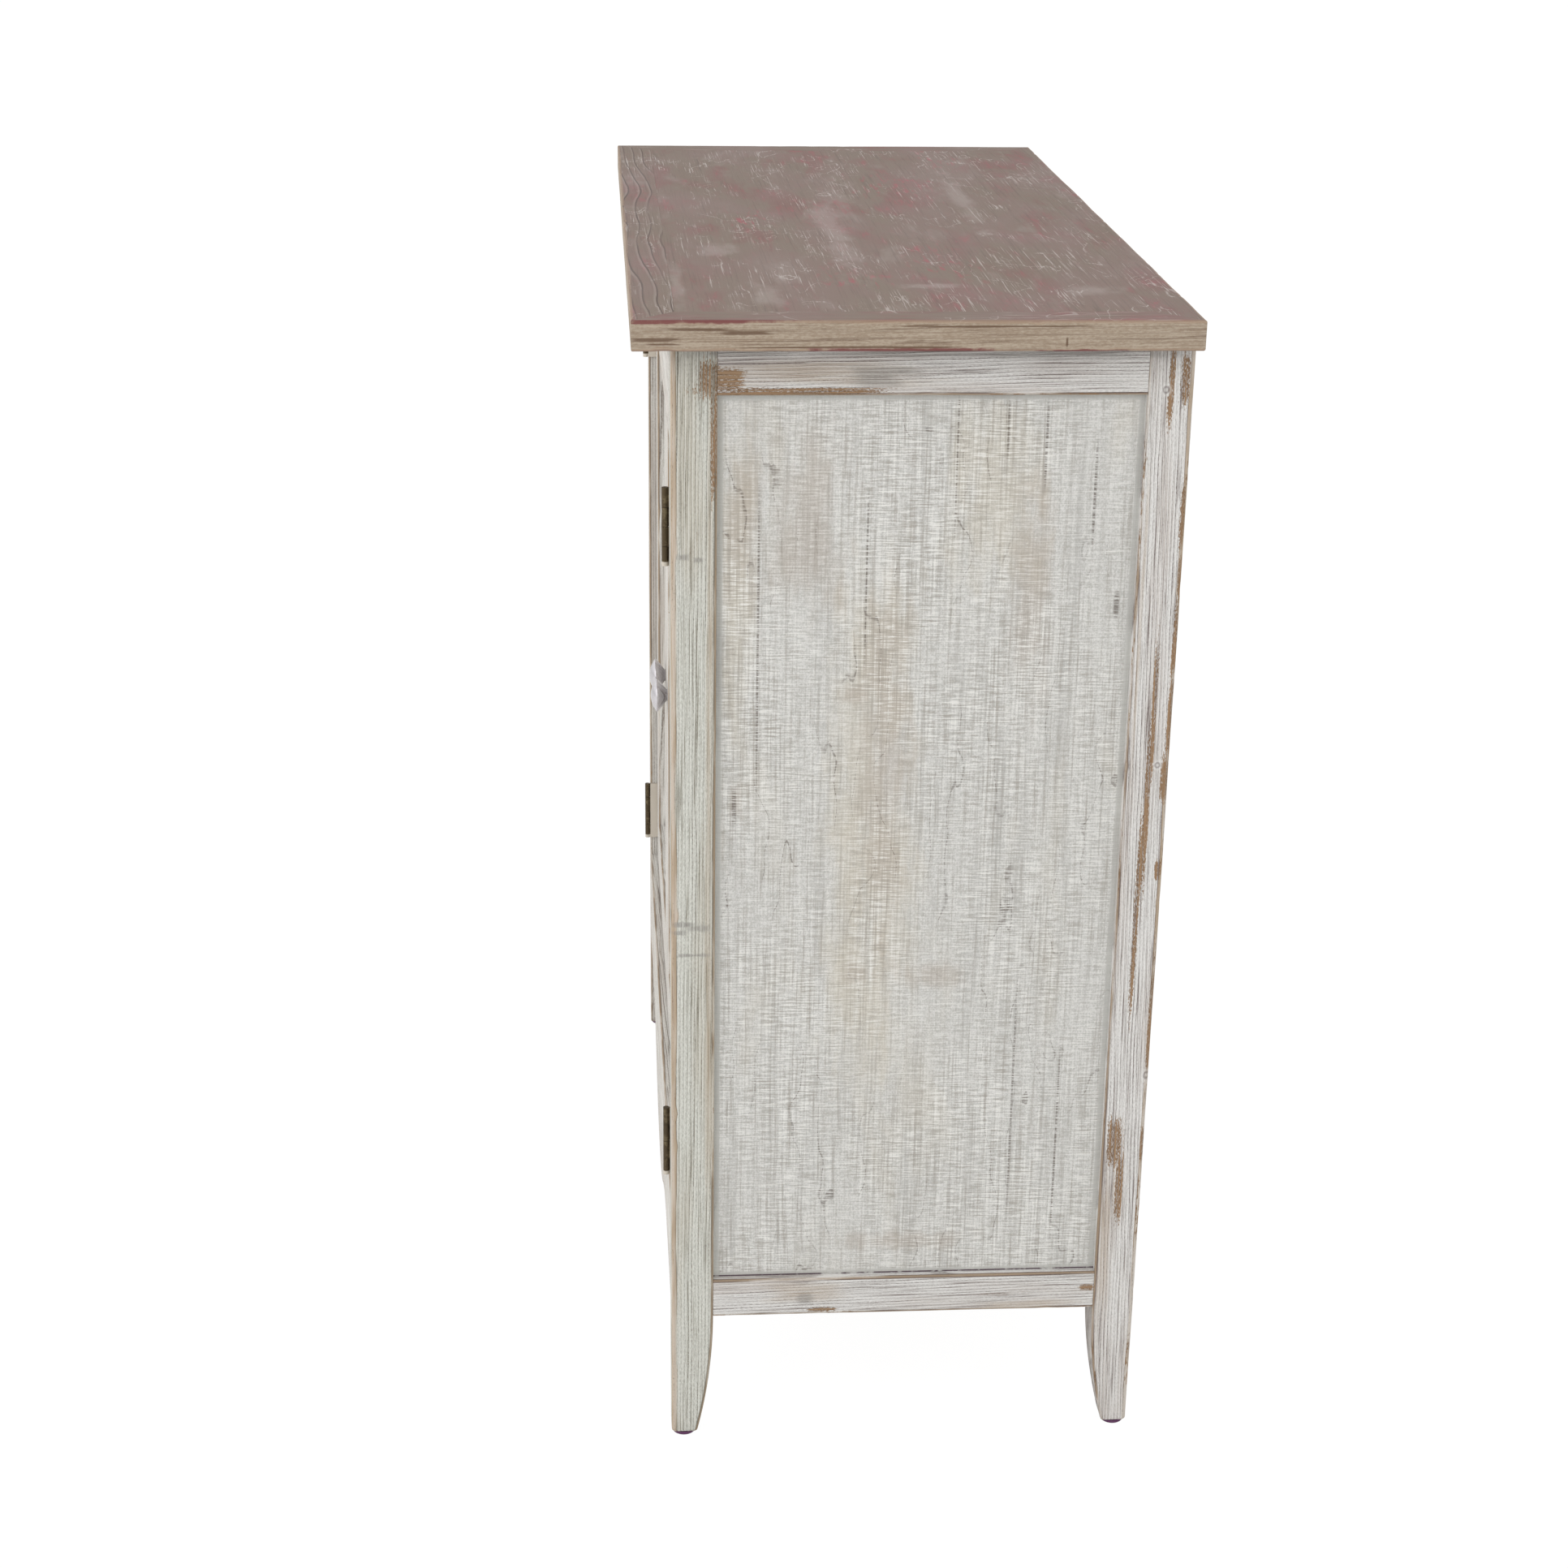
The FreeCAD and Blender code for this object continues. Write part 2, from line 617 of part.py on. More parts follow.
def cleat(label, outer_x, base_z):
    """A left-hand square cleat between the posts."""
    body = new_body(label)
    add_box(body, "Stick", ("0", "0", "0"), ("cleat_size", "side_run", "cleat_size"))
    place(body, f"-{outer_x}", "inner_front_y", base_z)
    return body


# Doors

def door_stile(label, low_x, groove_x):
    """A left door's stile with the panel groove in its inner edge."""
    body = new_body(label)
    add_box(body, "Stick", ("0", "0", "0"), ("stile_width", "door_thick", "door_height"))
    cut_box(body, "Groove",
            (groove_x, "door_panel_setback + bevel_drop - groove_gap", "-overrun"),
            ("groove_depth + overrun", "tongue_thick + 2 * groove_gap",
             "door_height + 2 * overrun"))
    place(body, low_x, "door_front_y", "door_low_z")
    return body


def door_rail(label, groove_z, base_z):
    """A left door's rail, with stub tenons in the stiles' grooves."""
    tongue_y = "door_panel_setback + bevel_drop"
    body = new_body(label)
    add_box(body, "Stick", ("0", "0", "0"), ("door_opening", "door_thick", "door_rail_width"))
    for name, x in (("HingeTenon", "-tongue"), ("MeetingTenon", "door_opening")):
        add_box(body, name, (x, tongue_y, "0"), ("tongue", "tongue_thick", "door_rail_width"))
    cut_box(body, "Groove", ("-tongue - overrun", f"{tongue_y} - groove_gap", groove_z),
            ("door_opening + 2 * tongue + 2 * overrun", "tongue_thick + 2 * groove_gap",
             "groove_depth + overrun"))
    place(body, "stile_width - door_hinge_x", "door_front_y", base_z)
    return body


def left_door():
    """The left door's wooden pieces."""
    hinge_stile = door_stile("left_door_hinge_stile", "-door_hinge_x", "stile_width - groove_depth")
    for name, low in HINGE_LOWS.items():
        for index, rise in enumerate(LEAF_SCREWS):
            cut_round(hinge_stile, f"Pilot_{name}{index}",
                      ("-overrun", "screw_setin", f"{low} + {rise} - door_low_z"), "+X",
                      "screw_radius + screw_fit", "screw_length + overrun")
    meeting_stile = door_stile("left_door_meeting_stile", "-door_meet_x - stile_width", "-overrun")
    cut_round(meeting_stile, "KnobHole", ("stile_width / 2", "-overrun", "door_height / 2"), "+Y",
              "knob_screw_radius + screw_fit", "door_thick + 2 * overrun")
    bottom = door_rail("left_door_bottom_rail", "door_rail_width - groove_depth", "door_low_z")
    top = door_rail("left_door_top_rail", "-overrun", "door_low_z + door_height - door_rail_width")
    panel = raised_panel("left_door_panel", "door_opening", "door_opening_height")
    place(panel, "stile_width - door_hinge_x", "door_front_y + door_panel_setback + panel_thick",
          "door_low_z + door_rail_width", ALONG["-Y"])
    return hinge_stile, meeting_stile, bottom, top, panel


# Door furniture

def hinge_leaf(label, low, thick_low, knuckles, screw_x, screw_along):
    """A left-hand hinge leaf, drawn from the foot of the hinge axis."""
    body = new_body(label)
    add_box(body, "Plate", (thick_low, "leaf_front", "0"),
            ("leaf_thick", "leaf_depth", "hinge_length"))
    for index in knuckles:
        foot = f"knuckle_pitch * {index}"
        add_box(body, f"Tab{index}", (thick_low, "pin_radius + pin_fit + tab_root", foot),
                ("leaf_thick", "leaf_front - pin_radius - pin_fit - tab_root", "knuckle_length"))
        cut_round(body, f"Knuckle{index}", ("0", "0", foot), "+Z", "barrel_radius",
                  "knuckle_length", "Additive")
    cut_round(body, "Bore", ("0", "0", "-overrun"), "+Z", "pin_radius + pin_fit",
              "hinge_length + 2 * overrun")
    for index, rise in enumerate(LEAF_SCREWS):
        cone = body.newObject("PartDesign::SubtractiveCone", f"Sink{index}")
        bind(cone, Radius1="screw_head_radius + screw_fit", Radius2="screw_radius + screw_fit",
             Height="leaf_thick")
        place(cone, screw_x, "screw_y - barrel_y", rise, ALONG[screw_along])
    place(body, "-barrel_x", "barrel_y", low)
    return body


def leaf_screw():
    """The pattern of the hinge screws: a flush cone and a shank along +Z."""
    body = doc.addObject("PartDesign::Body", "LeafScrew")
    head = body.newObject("PartDesign::AdditiveCone", "Head")
    bind(head, Radius1="screw_head_radius", Radius2="screw_radius", Height="leaf_thick")
    cut_round(body, "Shank", ("0", "0", "leaf_thick"), "+Z", "screw_radius",
              "screw_length - leaf_thick - dowel_end_gap", "Additive")
    return body


def copy_of(source, name, x, y, z, along):
    link = doc.addObject("App::Link", name)
    link.LinkedObject = source
    place(link, x, y, z, ALONG[along])
    return link


def leaf_screws(label, source, sides):
    """Hinge screws for (side sign, screw face from the axis, direction) in turn."""
    members = []
    for sign, face, along in sides:
        for low in HINGE_LOWS.values():
            for rise in LEAF_SCREWS:
                name = f"{label}_{len(members)}"
                members.append(copy_of(source, name, f"{sign}(barrel_x {face} leaf_gap / 2)",
                                       "screw_y", f"{low} + {rise}", along))
    group(label, members)


def hinge_pins():
    members = []
    for sign in ("", "-"):
        for low in HINGE_LOWS.values():
            pin = doc.addObject("Part::Cylinder", f"Pin{len(members)}")
            bind(pin, Radius="pin_radius", Height="hinge_length")
            place(pin, f"{sign}barrel_x", "barrel_y", low)
            members.append(pin)
    group("hinge_pins", members)


def knob():
    """A round knob that flares from the door to a rim and a low crowned face."""
    body = new_body("left_knob")
    sketch = new_sketch(body, "Profile", "XZ_Plane")
    line = add_lines(sketch, (
        ("0", "knob_length"),
        ("0", "0"),
        ("knob_base_radius", "0"),
        ("knob_radius", "knob_cone"),
        ("knob_radius", "knob_cone + knob_rim"),
    ), closed=False)
    radius = places.knob_dome_radius
    quarter = math.pi / 2
    sweep = math.asin(sizes.get("knob_radius") / radius)
    arc = add_arc(sketch, (0, sizes.get("knob_length") - radius), radius, quarter - sweep, quarter)
    hold(sketch, "DistanceX", arc, 3, "0")
    join(sketch, (arc, 1), (line + 3, 2))
    join(sketch, (arc, 2), (line, 1))
    turn = body.newObject("PartDesign::Revolution", "Turned")
    turn.Profile = sketch
    turn.ReferenceAxis = (sketch, ["V_Axis"])
    turn.Angle = 360
    cut_round(body, "Thread", ("0", "0", "-overrun"), "+Z", "knob_screw_radius + screw_fit",
              "knob_screw_bite + dowel_end_gap + overrun")
    place(body, "-knob_x", "door_front_y", "door_low_z + door_height / 2", ALONG["-Y"])
    return body


def headed_screw(label, head_radius, head_thick, radius, length):
    """A flat-headed screw along +Z, with its head below local Z = 0."""
    body = doc.addObject("PartDesign::Body", "Body_" + label)
    cut_round(body, "Head", ("0", "0", f"-{head_thick}"), "+Z", head_radius, head_thick,
              "Additive")
    head = body.Tip
    cut_round(body, "Shank", ("0", "0", "0"), "+Z", radius, length, "Additive")
    fillet_edges(body, body.Tip, "Crown", f"{head_thick} * {HEAD_ROUND_SHARE}", lambda edge:
                 edge.Closed and edge.BoundBox.ZMax < head.Shape.BoundBox.Center.z)
    return body


def magnetic_catch():
    """A double catch: a flange behind the frieze and a body that the strikes meet."""
    body = new_body("magnetic_catch")
    add_box(body, "Flange", ("-catch_width / 2", "0", "0"),
            ("catch_width", "flange_thick", "flange_height"))
    add_box(body, "Case", ("-catch_width / 2", "catch_stand", "-catch_drop"),
            ("catch_width", "catch_thick", "catch_drop"))
    place(body, "0", "rail_back_y", "opening_high_z")


def strike():
    body = new_body("left_strike_plate")
    add_box(body, "Plate", ("-strike_width", "0", "-strike_height"),
            ("strike_width", "strike_thick", "strike_height"))
    place(body, "-door_meet_x - strike_inset", "door_back_y",
          "door_low_z + door_height - strike_drop")
    return body


def foot_glides():
    pattern = doc.addObject("PartDesign::Body", "Glide")
    cut_round(pattern, "Disc", ("0", "0", "0"), "+Z", "glide_radius", "glide_thick", "Additive")
    fillet_edges(pattern, pattern.Tip, "Rounding", "glide_round",
                 lambda edge: edge.Closed and within(edge.BoundBox.ZMax, 0))
    members = []
    for sign in ("", "-"):
        for y in ("front_y + foot_size / 2", "half_depth - foot_size / 2"):
            name = f"Glide{len(members)}"
            members.append(copy_of(pattern, name, f"{sign}(case_x - foot_size / 2)", y, "0", "+Z"))
    group("foot_glides", members)


def frame_dowels():
    """Every frame dowel, half in its rail and half in its post."""
    seats = []
    for sign in ("", "-"):
        for level in SIDE_DOWELS:
            for y in ("inner_front_y", "inner_back_y"):
                seats.append((f"{sign}(case_x - rail_thick / 2)", f"{y} - dowel_length / 2",
                              level, "+Y"))
        for y, levels in (("front_y + rail_thick / 2", FRONT_DOWELS),
                          ("half_depth - rail_thick / 2", BACK_DOWELS)):
            for level in levels:
                seats.append((f"{sign}inner_x - dowel_length / 2", y, level, "+X"))
    members = []
    for x, y, z, along in seats:
        dowel = doc.addObject("Part::Cylinder", f"Dowel{len(members)}")
        bind(dowel, Radius="dowel_radius", Height="dowel_length")
        place(dowel, x, y, z, ALONG[along])
        members.append(dowel)
    group("frame_dowels", members)


def build_top():
    screw_ys = ("inner_front_y + top_screw_end", "(inner_front_y + inner_back_y) / 2",
                "inner_back_y - top_screw_end")
    screw_places = [(f"{sign}(rail_inner_x - cleat_size / 2)", y)
                    for sign in ("", "-") for y in screw_ys]
    top_field(screw_places)
    top_border("top_front_border", "top_width", "0", "-half_depth", 0)
    top_border("top_back_border", "top_width", "0", "half_depth", 180)
    top_border("top_right_border", "top_depth", "half_width", "0", 90)
    top_border("top_left_border", "top_depth", "-half_width", "0", -90)
    left = cleat("left_top_cleat", "rail_inner_x", "case_top_z - cleat_size")
    for index, y in enumerate(screw_ys):
        cut_round(left, f"Hole{index}", ("cleat_size / 2", f"{y} - inner_front_y", "-overrun"),
                  "+Z", "top_screw_radius + screw_fit", "cleat_size + 2 * overrun")
    mirror_left("right_top_cleat", left)
    pattern = headed_screw("TopScrew", "top_head_radius", "top_head_thick", "top_screw_radius",
                           "cleat_size + top_screw_bite")
    group("top_screws", [copy_of(pattern, f"TopScrew{index}", x, y, "case_top_z - cleat_size", "+Z")
                         for index, (x, y) in enumerate(screw_places)])


def build_case():
    mirror_left("front_right_post", post("front_left_post", True))
    mirror_left("back_left_post", post("back_right_post", False))
    top = side_rail("left_top_rail", "top_rail_height", "-overrun", "top_rail_z", SIDE_DOWELS[:2])
    bottom = side_rail("left_bottom_rail", "bottom_rail_height",
                       "bottom_rail_height - groove_depth", "bottom_rail_z", SIDE_DOWELS[2:])
    mirror_left("right_top_rail", top)
    mirror_left("right_bottom_rail", bottom)
    side = raised_panel("left_side_panel", "side_run", "top_rail_z - panel_low_z")
    place(side, "-side_back_x", "inner_back_y", "panel_low_z",
          FreeCAD.Rotation(-Y_AXIS, Z_AXIS, -X_AXIS, "ZXY"))
    mirror_left("right_side_panel", side)
    front_frieze()
    front_apron()
    back_rail("back_top_rail", "back_top_z", "-overrun", BACK_DOWELS[:2])
    back_rail("back_bottom_rail", "back_low_z", "back_rail_height - groove_depth", BACK_DOWELS[2:])
    back_panel()
    frame_dowels()
    foot_glides()


def build_inside():
    notched_board("floor_board", True, "board_thick", "floor_z")
    notched_board("shelf", False, "shelf_thick", "shelf_rise")
    floor = cleat("left_floor_cleat", "side_back_x", "floor_z - cleat_size")
    shelf = cleat("left_shelf_cleat", "side_back_x", "shelf_rise - cleat_size")
    mirror_left("right_floor_cleat", floor)
    mirror_left("right_shelf_cleat", shelf)
    magnetic_catch()


def build_doors():
    for piece in left_door():
        mirror_left(piece.Label.replace("left", "right"), piece)
    mirror_left("right_knob", knob())
    mirror_left("right_strike_plate", strike())
    pattern = headed_screw("KnobScrew", "knob_head_radius", "knob_head_thick",
                           "knob_screw_radius", "door_thick + knob_screw_bite")
    for side, sign in (("left", "-"), ("right", "")):
        screw = copy_of(pattern, f"Knob_screw_{side}", f"{sign}knob_x", "door_back_y",
                        "door_low_z + door_height / 2", "-Y")
        group(f"{side}_knob_screw", [screw])


def build_hinges():
    for name, low in HINGE_LOWS.items():
        post_leaf = hinge_leaf(f"left_{name}_post_leaf", low, "-leaf_thick - leaf_gap / 2",
                               POST_KNUCKLES, "-leaf_gap / 2", "-X")
        door_leaf = hinge_leaf(f"left_{name}_door_leaf", low, "leaf_gap / 2",
                               DOOR_KNUCKLES, "leaf_gap / 2", "+X")
        mirror_left(f"right_{name}_post_leaf", post_leaf)
        mirror_left(f"right_{name}_door_leaf", door_leaf)
    hinge_pins()
    pattern = leaf_screw()
    leaf_screws("post_leaf_screws", pattern, (("-", "+", "-X"), ("", "+", "+X")))
    leaf_screws("left_door_leaf_screws", pattern, (("-", "-", "+X"),))
    leaf_screws("right_door_leaf_screws", pattern, (("", "-", "-X"),))


def write_steps():
    """Checks every object and writes one STEP file for each sub-part."""
    doc.recompute()
    for thing in doc.Objects:
        if "Invalid" in thing.State or "Error" in thing.State:
            raise RuntimeError(f"{thing.Name} did not build: {thing.State}")
    os.makedirs("parts", exist_ok=True)
    for node in nodes:
        shape = node.Shape
        if shape.isNull() or not shape.isValid() or not shape.Solids:
            raise RuntimeError(f"{node.Label} has no valid solid")
        shape.exportStep(f"parts/{node.Label}.step")
        print(node.Label, len(shape.Solids), round(shape.Volume))


sizes = make_sheet()
places = make_places()
build_top()
build_case()
build_inside()
build_doors()
build_hinges()
write_steps()
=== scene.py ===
"""Storage cabinet: worn boards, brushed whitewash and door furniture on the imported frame."""

import enum
import json
import logging
import math
from collections.abc import Callable, Mapping, Sequence
from dataclasses import dataclass, field, replace

import bmesh
import bpy
from mathutils import Matrix, Vector, noise


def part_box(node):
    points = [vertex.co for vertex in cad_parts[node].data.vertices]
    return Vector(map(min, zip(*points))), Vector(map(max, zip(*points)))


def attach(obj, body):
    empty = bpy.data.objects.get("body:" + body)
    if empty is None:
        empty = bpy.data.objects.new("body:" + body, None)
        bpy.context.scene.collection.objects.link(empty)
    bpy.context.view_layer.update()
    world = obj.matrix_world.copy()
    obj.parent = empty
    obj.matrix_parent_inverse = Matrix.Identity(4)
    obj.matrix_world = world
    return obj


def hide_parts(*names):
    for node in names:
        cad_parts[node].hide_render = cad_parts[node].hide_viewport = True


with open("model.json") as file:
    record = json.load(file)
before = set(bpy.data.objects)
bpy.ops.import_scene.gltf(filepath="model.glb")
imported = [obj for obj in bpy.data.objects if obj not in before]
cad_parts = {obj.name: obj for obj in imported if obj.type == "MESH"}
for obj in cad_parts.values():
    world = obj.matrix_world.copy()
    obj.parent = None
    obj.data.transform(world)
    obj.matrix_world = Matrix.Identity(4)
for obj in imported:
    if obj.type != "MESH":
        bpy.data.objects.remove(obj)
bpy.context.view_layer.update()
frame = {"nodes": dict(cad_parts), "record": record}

LOG = logging.getLogger("cabinet")
RECORD = frame["record"]
BODY_OF = {node: body for body, nodes in RECORD["behaviour"]["bodies"].items() for node in nodes}
SLOT_OF = {piece["node"]: piece["material_slot"] for piece in RECORD["subparts"]}

# The edge attribute holds the distance in metres from the nearest worn arris: this much where
# there is none, and this negative value on a wide one.
EDGE_REACH = 0.03
WIDE_EDGE = -0.0025
SAME_CORNER = 1e-6

Rect = tuple[tuple[float, float], tuple[float, float]]
Colour = tuple[float, float, float, float]
Socket = bpy.types.NodeSocket
Sockets = bpy.types.bpy_prop_collection
Vert = bmesh.types.BMVert
Piece = bpy.types.Object
Node = bpy.types.Node


def tone(red: float, green: float, blue: float) -> Colour:
    """A colour given as it shows on screen, from 0 to 255, made linear.

    Args:
        red: Red as shown.
        green: Green as shown.
        blue: Blue as shown.

    Returns:
        The linear colour with an alpha of 1.
    """
    linear = []
    for part in (red, green, blue):
        shown = part / 255
        linear.append(shown / 12.92 if shown <= 0.04045 else ((shown + 0.055) / 1.055) ** 2.4)
    return (*linear, 1.0)


class Axis(enum.Enum):
    """A row axis that a board's grain runs along."""

    X = 0
    Y = 1
    Z = 2

    @property
    def order(self) -> tuple[int, int, int]:
        """Row axis numbers of the grain and of the board's two cross directions."""
        return self.value, (self.value + 1) % 3, (self.value + 2) % 3


class Side(enum.Enum):
    """Which side of the cabinet a piece stands on."""

    RIGHT = 1
    LEFT = -1

    @property
    def word(self) -> str:
        """The side's name as the frame's nodes write it."""
        return self.name.lower()


# Shader nodes


class Graph:
    """One node tree, built a node at a time."""

    def __init__(self, tree: bpy.types.NodeTree) -> None:
        """Keeps the tree.

        Args:
            tree: The node tree to add to.
        """
        self.tree = tree

    def feed(self, socket: Socket, value: object) -> None:
        """Links a socket to an input, or sets the input's own value.

        Args:
            socket: The input.
            value: An output socket, a number, a vector or a colour.
        """
        if isinstance(value, Socket):
            self.tree.links.new(value, socket)
        else:
            socket.default_value = value

    def node(self, kind: str, inputs: dict[str | int, object], **settings: object) -> Node:
        """Adds a node.

        Args:
            kind: The node's type, without its ShaderNode prefix.
            inputs: What each input gets, by name or number.
            **settings: The node's own properties.

        Returns:
            The new node.
        """
        made = self.tree.nodes.new("ShaderNode" + kind)
        for name, value in settings.items():
            setattr(made, name, value)
        for name, value in inputs.items():
            self.feed(made.inputs[name], value)
        return made

    def calc(self, operation: str, *values: object) -> Socket:
        """A Math node's result.

        Args:
            operation: The operation's name.
            *values: Its inputs in order.

        Returns:
            The output socket.
        """
        return self.node("Math", dict(enumerate(values)), operation=operation).outputs[0]

    def times(self, first: object, second: object) -> Socket:
        """Two values multiplied."""
        return self.calc("MULTIPLY", first, second)

    def plus(self, first: object, second: object) -> Socket:
        """Two values added."""
        return self.calc("ADD", first, second)

    def minus(self, first: object, second: object) -> Socket:
        """The first value less the second."""
        return self.calc("SUBTRACT", first, second)

    def shares(self, first: object, much: float, second: object, more: float) -> Socket:
        """Two values added, each in its own share."""
        return self.plus(self.times(first, much), self.times(second, more))

    def most(self, first: object, second: object) -> Socket:
        """The larger of two values."""
        return self.calc("MAXIMUM", first, second)

    def vector(self, operation: str, *values: object) -> Socket:
        """A Vector Math node's vector.

        Args:
            operation: The operation's name.
            *values: Its inputs in order.

        Returns:
            The output socket.
        """
        return self.node("VectorMath", dict(enumerate(values)), operation=operation).outputs[0]

    def scatter(self, vector: object, scale: float, detail: float = 2.0, rough: float = 0.5,
                distort: float = 0.0) -> Socket:
        """A Noise Texture's value.

        Args:
            vector: Where it is read.
            scale: Its scale.
            detail: How many finer layers it has.
            rough: How strong the finer layers are.
            distort: How far it is bent.

        Returns:
            The output socket, about 0.2 to 0.8.
        """
        inputs = {"Vector": vector, "Scale": scale, "Detail": detail, "Roughness": rough,
                  "Distortion": distort}
        return self.node("TexNoise", inputs).outputs["Fac"]

    def combine(self, *parts: object) -> Socket:
        """A vector of up to three numbers."""
        return self.node("CombineXYZ", dict(enumerate(parts))).outputs[0]

    def noise(self, place: object, stretch: object, *layers: float) -> Socket:
        """A noise read at coordinates that are stretched first, with scatter's own layers."""
        return self.scatter(self.vector("MULTIPLY", place, stretch), 1.0, *layers)

    def ramp(self, value: object, low: object, high: object, first: float = 0.0,
             last: float = 1.0) -> Socket:
        """A smooth step of a value from one level to another.

        Args:
            value: What is stepped.
            low: Where the step starts.
            high: Where it ends.
            first: The result below the step.
            last: The result above it.

        Returns:
            The output socket.
        """
        inputs = {"Value": value, "From Min": low, "From Max": high, "To Min": first, "To Max": last}
        return self.node("MapRange", inputs, interpolation_type="SMOOTHSTEP").outputs["Result"]

    def blend(self, factor: object, first: object, second: object) -> Socket:
        """Two colours mixed.

        Args:
            factor: How much of the second.
            first: The first colour.
            second: The second colour.

        Returns:
            The output socket.
        """
        return self.node("Mix", {0: factor, 6: first, 7: second}, data_type="RGBA").outputs[2]


class Effect:
    """A shader node group, built once and placed in materials with its own values.

    Attributes:
        title: The group's name.
        inputs: What its inputs start with, by name, after the coordinates that each group reads.
        outputs: The names of its outputs, which are all numbers.
    """

    title = ""
    inputs: Mapping[str, object] = {}
    outputs: Sequence[str] = ()

    def tree(self) -> bpy.types.NodeTree:
        """The group's tree, made on first use.

        Returns:
            The node group.
        """
        kept = bpy.data.node_groups.get(self.title)
        if kept is not None:
            return kept
        made = bpy.data.node_groups.new(self.title, "ShaderNodeTree")
        for name, start in {"Coordinates": (0, 0, 0), **self.inputs}.items():
            kind = "Vector" if isinstance(start, tuple) else "Float"
            socket = made.interface.new_socket(name, in_out="INPUT", socket_type="NodeSocket" + kind)
            socket.default_value = start
        for name in self.outputs:
            made.interface.new_socket(name, in_out="OUTPUT", socket_type="NodeSocketFloat")
        graph = Graph(made)
        source = made.nodes.new("NodeGroupInput").outputs
        sink = made.nodes.new("NodeGroupOutput").inputs
        for name, socket in self.draw(graph, source).items():
            made.links.new(socket, sink[name])
        return made

    def draw(self, graph: Graph, source: Sockets) -> dict[str, Socket]:
        """Builds the inside of the group.

        Args:
            graph: The group's tree.
            source: The group's input sockets, by name.

        Returns:
            What each output gets.
        """
        raise NotImplementedError

    def place(self, graph: Graph, where: object, **values: object) -> Sockets:
        """Puts the group in a material.

        Args:
            graph: The material's tree.
            where: The coordinates that it reads.
            **values: The other inputs, with underscores for the spaces in their names.

        Returns:
            The group node's outputs.
        """
        made = graph.tree.nodes.new("ShaderNodeGroup")
        made.node_tree = self.tree()
        graph.feed(made.inputs["Coordinates"], where)
        for name, value in values.items():
            graph.feed(made.inputs[name.replace("_", " ")], value)
        return made.outputs


class Grain(Effect):
    """Fibres drawn out along the grain, as a streaky value and as broad bands."""

    title = "wood grain"
    inputs = {"Across": 400.0, "Along": 8.0, "Waviness": 0.002}
    outputs = ("Streaks", "Bands")

    def draw(self, graph: Graph, source: Sockets) -> dict[str, Socket]:
        """Bends the coordinates, draws them out and reads two noises.

        Args:
            graph: The group's tree.
            source: Its inputs.

        Returns:
            What each output gets.
        """
        place = source["Coordinates"]
        sway = graph.noise(place, (9, 9, 4), 2.0)
        sway = graph.times(graph.minus(sway, 0.5), source["Waviness"])
        shift = graph.combine(sway, sway)
        bent = graph.vector("ADD", place, shift)
        across, along = source["Across"], source["Along"]
        drawn = graph.combine(across, across, along)
        streaks = graph.noise(bent, drawn, 4.0, 0.62)
        broad = graph.vector("MULTIPLY", bent, graph.vector("MULTIPLY", drawn, (0.16, 0.16, 0.3)))
        bands = graph.scatter(broad, 1.0, 3.0, 0.5)
        return {"Streaks": streaks, "Bands": bands}


class GrowthRings(Effect):
    """Growth rings about the pith: a dark late-wood line with a pale ridge beside it."""

    title = "growth rings"
    inputs = {"Spacing": 0.003, "Waviness": 0.0015, "Wobble": 0.16, "Width": 0.25, "Bends": 1.0}
    outputs = ("Line", "Ridge", "Ring")

    def draw(self, graph: Graph, source: Sockets) -> dict[str, Socket]:
        """Measures the distance from the pith, bends it and counts rings.

        Args:
            graph: The group's tree.
            source: Its inputs.

        Returns:
            What each output gets.
        """
        place = source["Coordinates"]
        parts = graph.node("SeparateXYZ", {0: place}).outputs
        flat = graph.combine(parts[0], parts[1])
        radius = graph.node("VectorMath", {0: flat}, operation="LENGTH").outputs["Value"]
        bends = graph.combine(source["Bends"], source["Bends"], source["Bends"])
        slowly = graph.vector("MULTIPLY", graph.vector("MULTIPLY", place, (24, 24, 9)), bends)
        slow = graph.scatter(slowly, 1.0, 2.0)
        quick = graph.noise(place, (130, 130, 30), 2.0)
        sway = graph.calc("MULTIPLY_ADD", quick, source["Wobble"], slow)
        radius = graph.calc("MULTIPLY_ADD", sway, source["Waviness"], radius)
        turns = graph.calc("DIVIDE", radius, source["Spacing"])
        phase = graph.calc("FRACT", turns)
        ring = graph.node("TexWhiteNoise", {"W": graph.calc("FLOOR", turns)},
                          noise_dimensions="1D").outputs["Value"]
        width = source["Width"]
        left = graph.minus(1.0, phase)
        line = graph.times(graph.ramp(left, graph.times(width, 0.55), width, 1.0, 0.0),
                           graph.ramp(left, 0.0, graph.times(width, 0.2)))
        ridge = graph.ramp(phase, graph.times(width, 0.5), graph.times(width, 1.4), 1.0, 0.0)
        return {"Line": line, "Ridge": ridge, "Ring": ring}


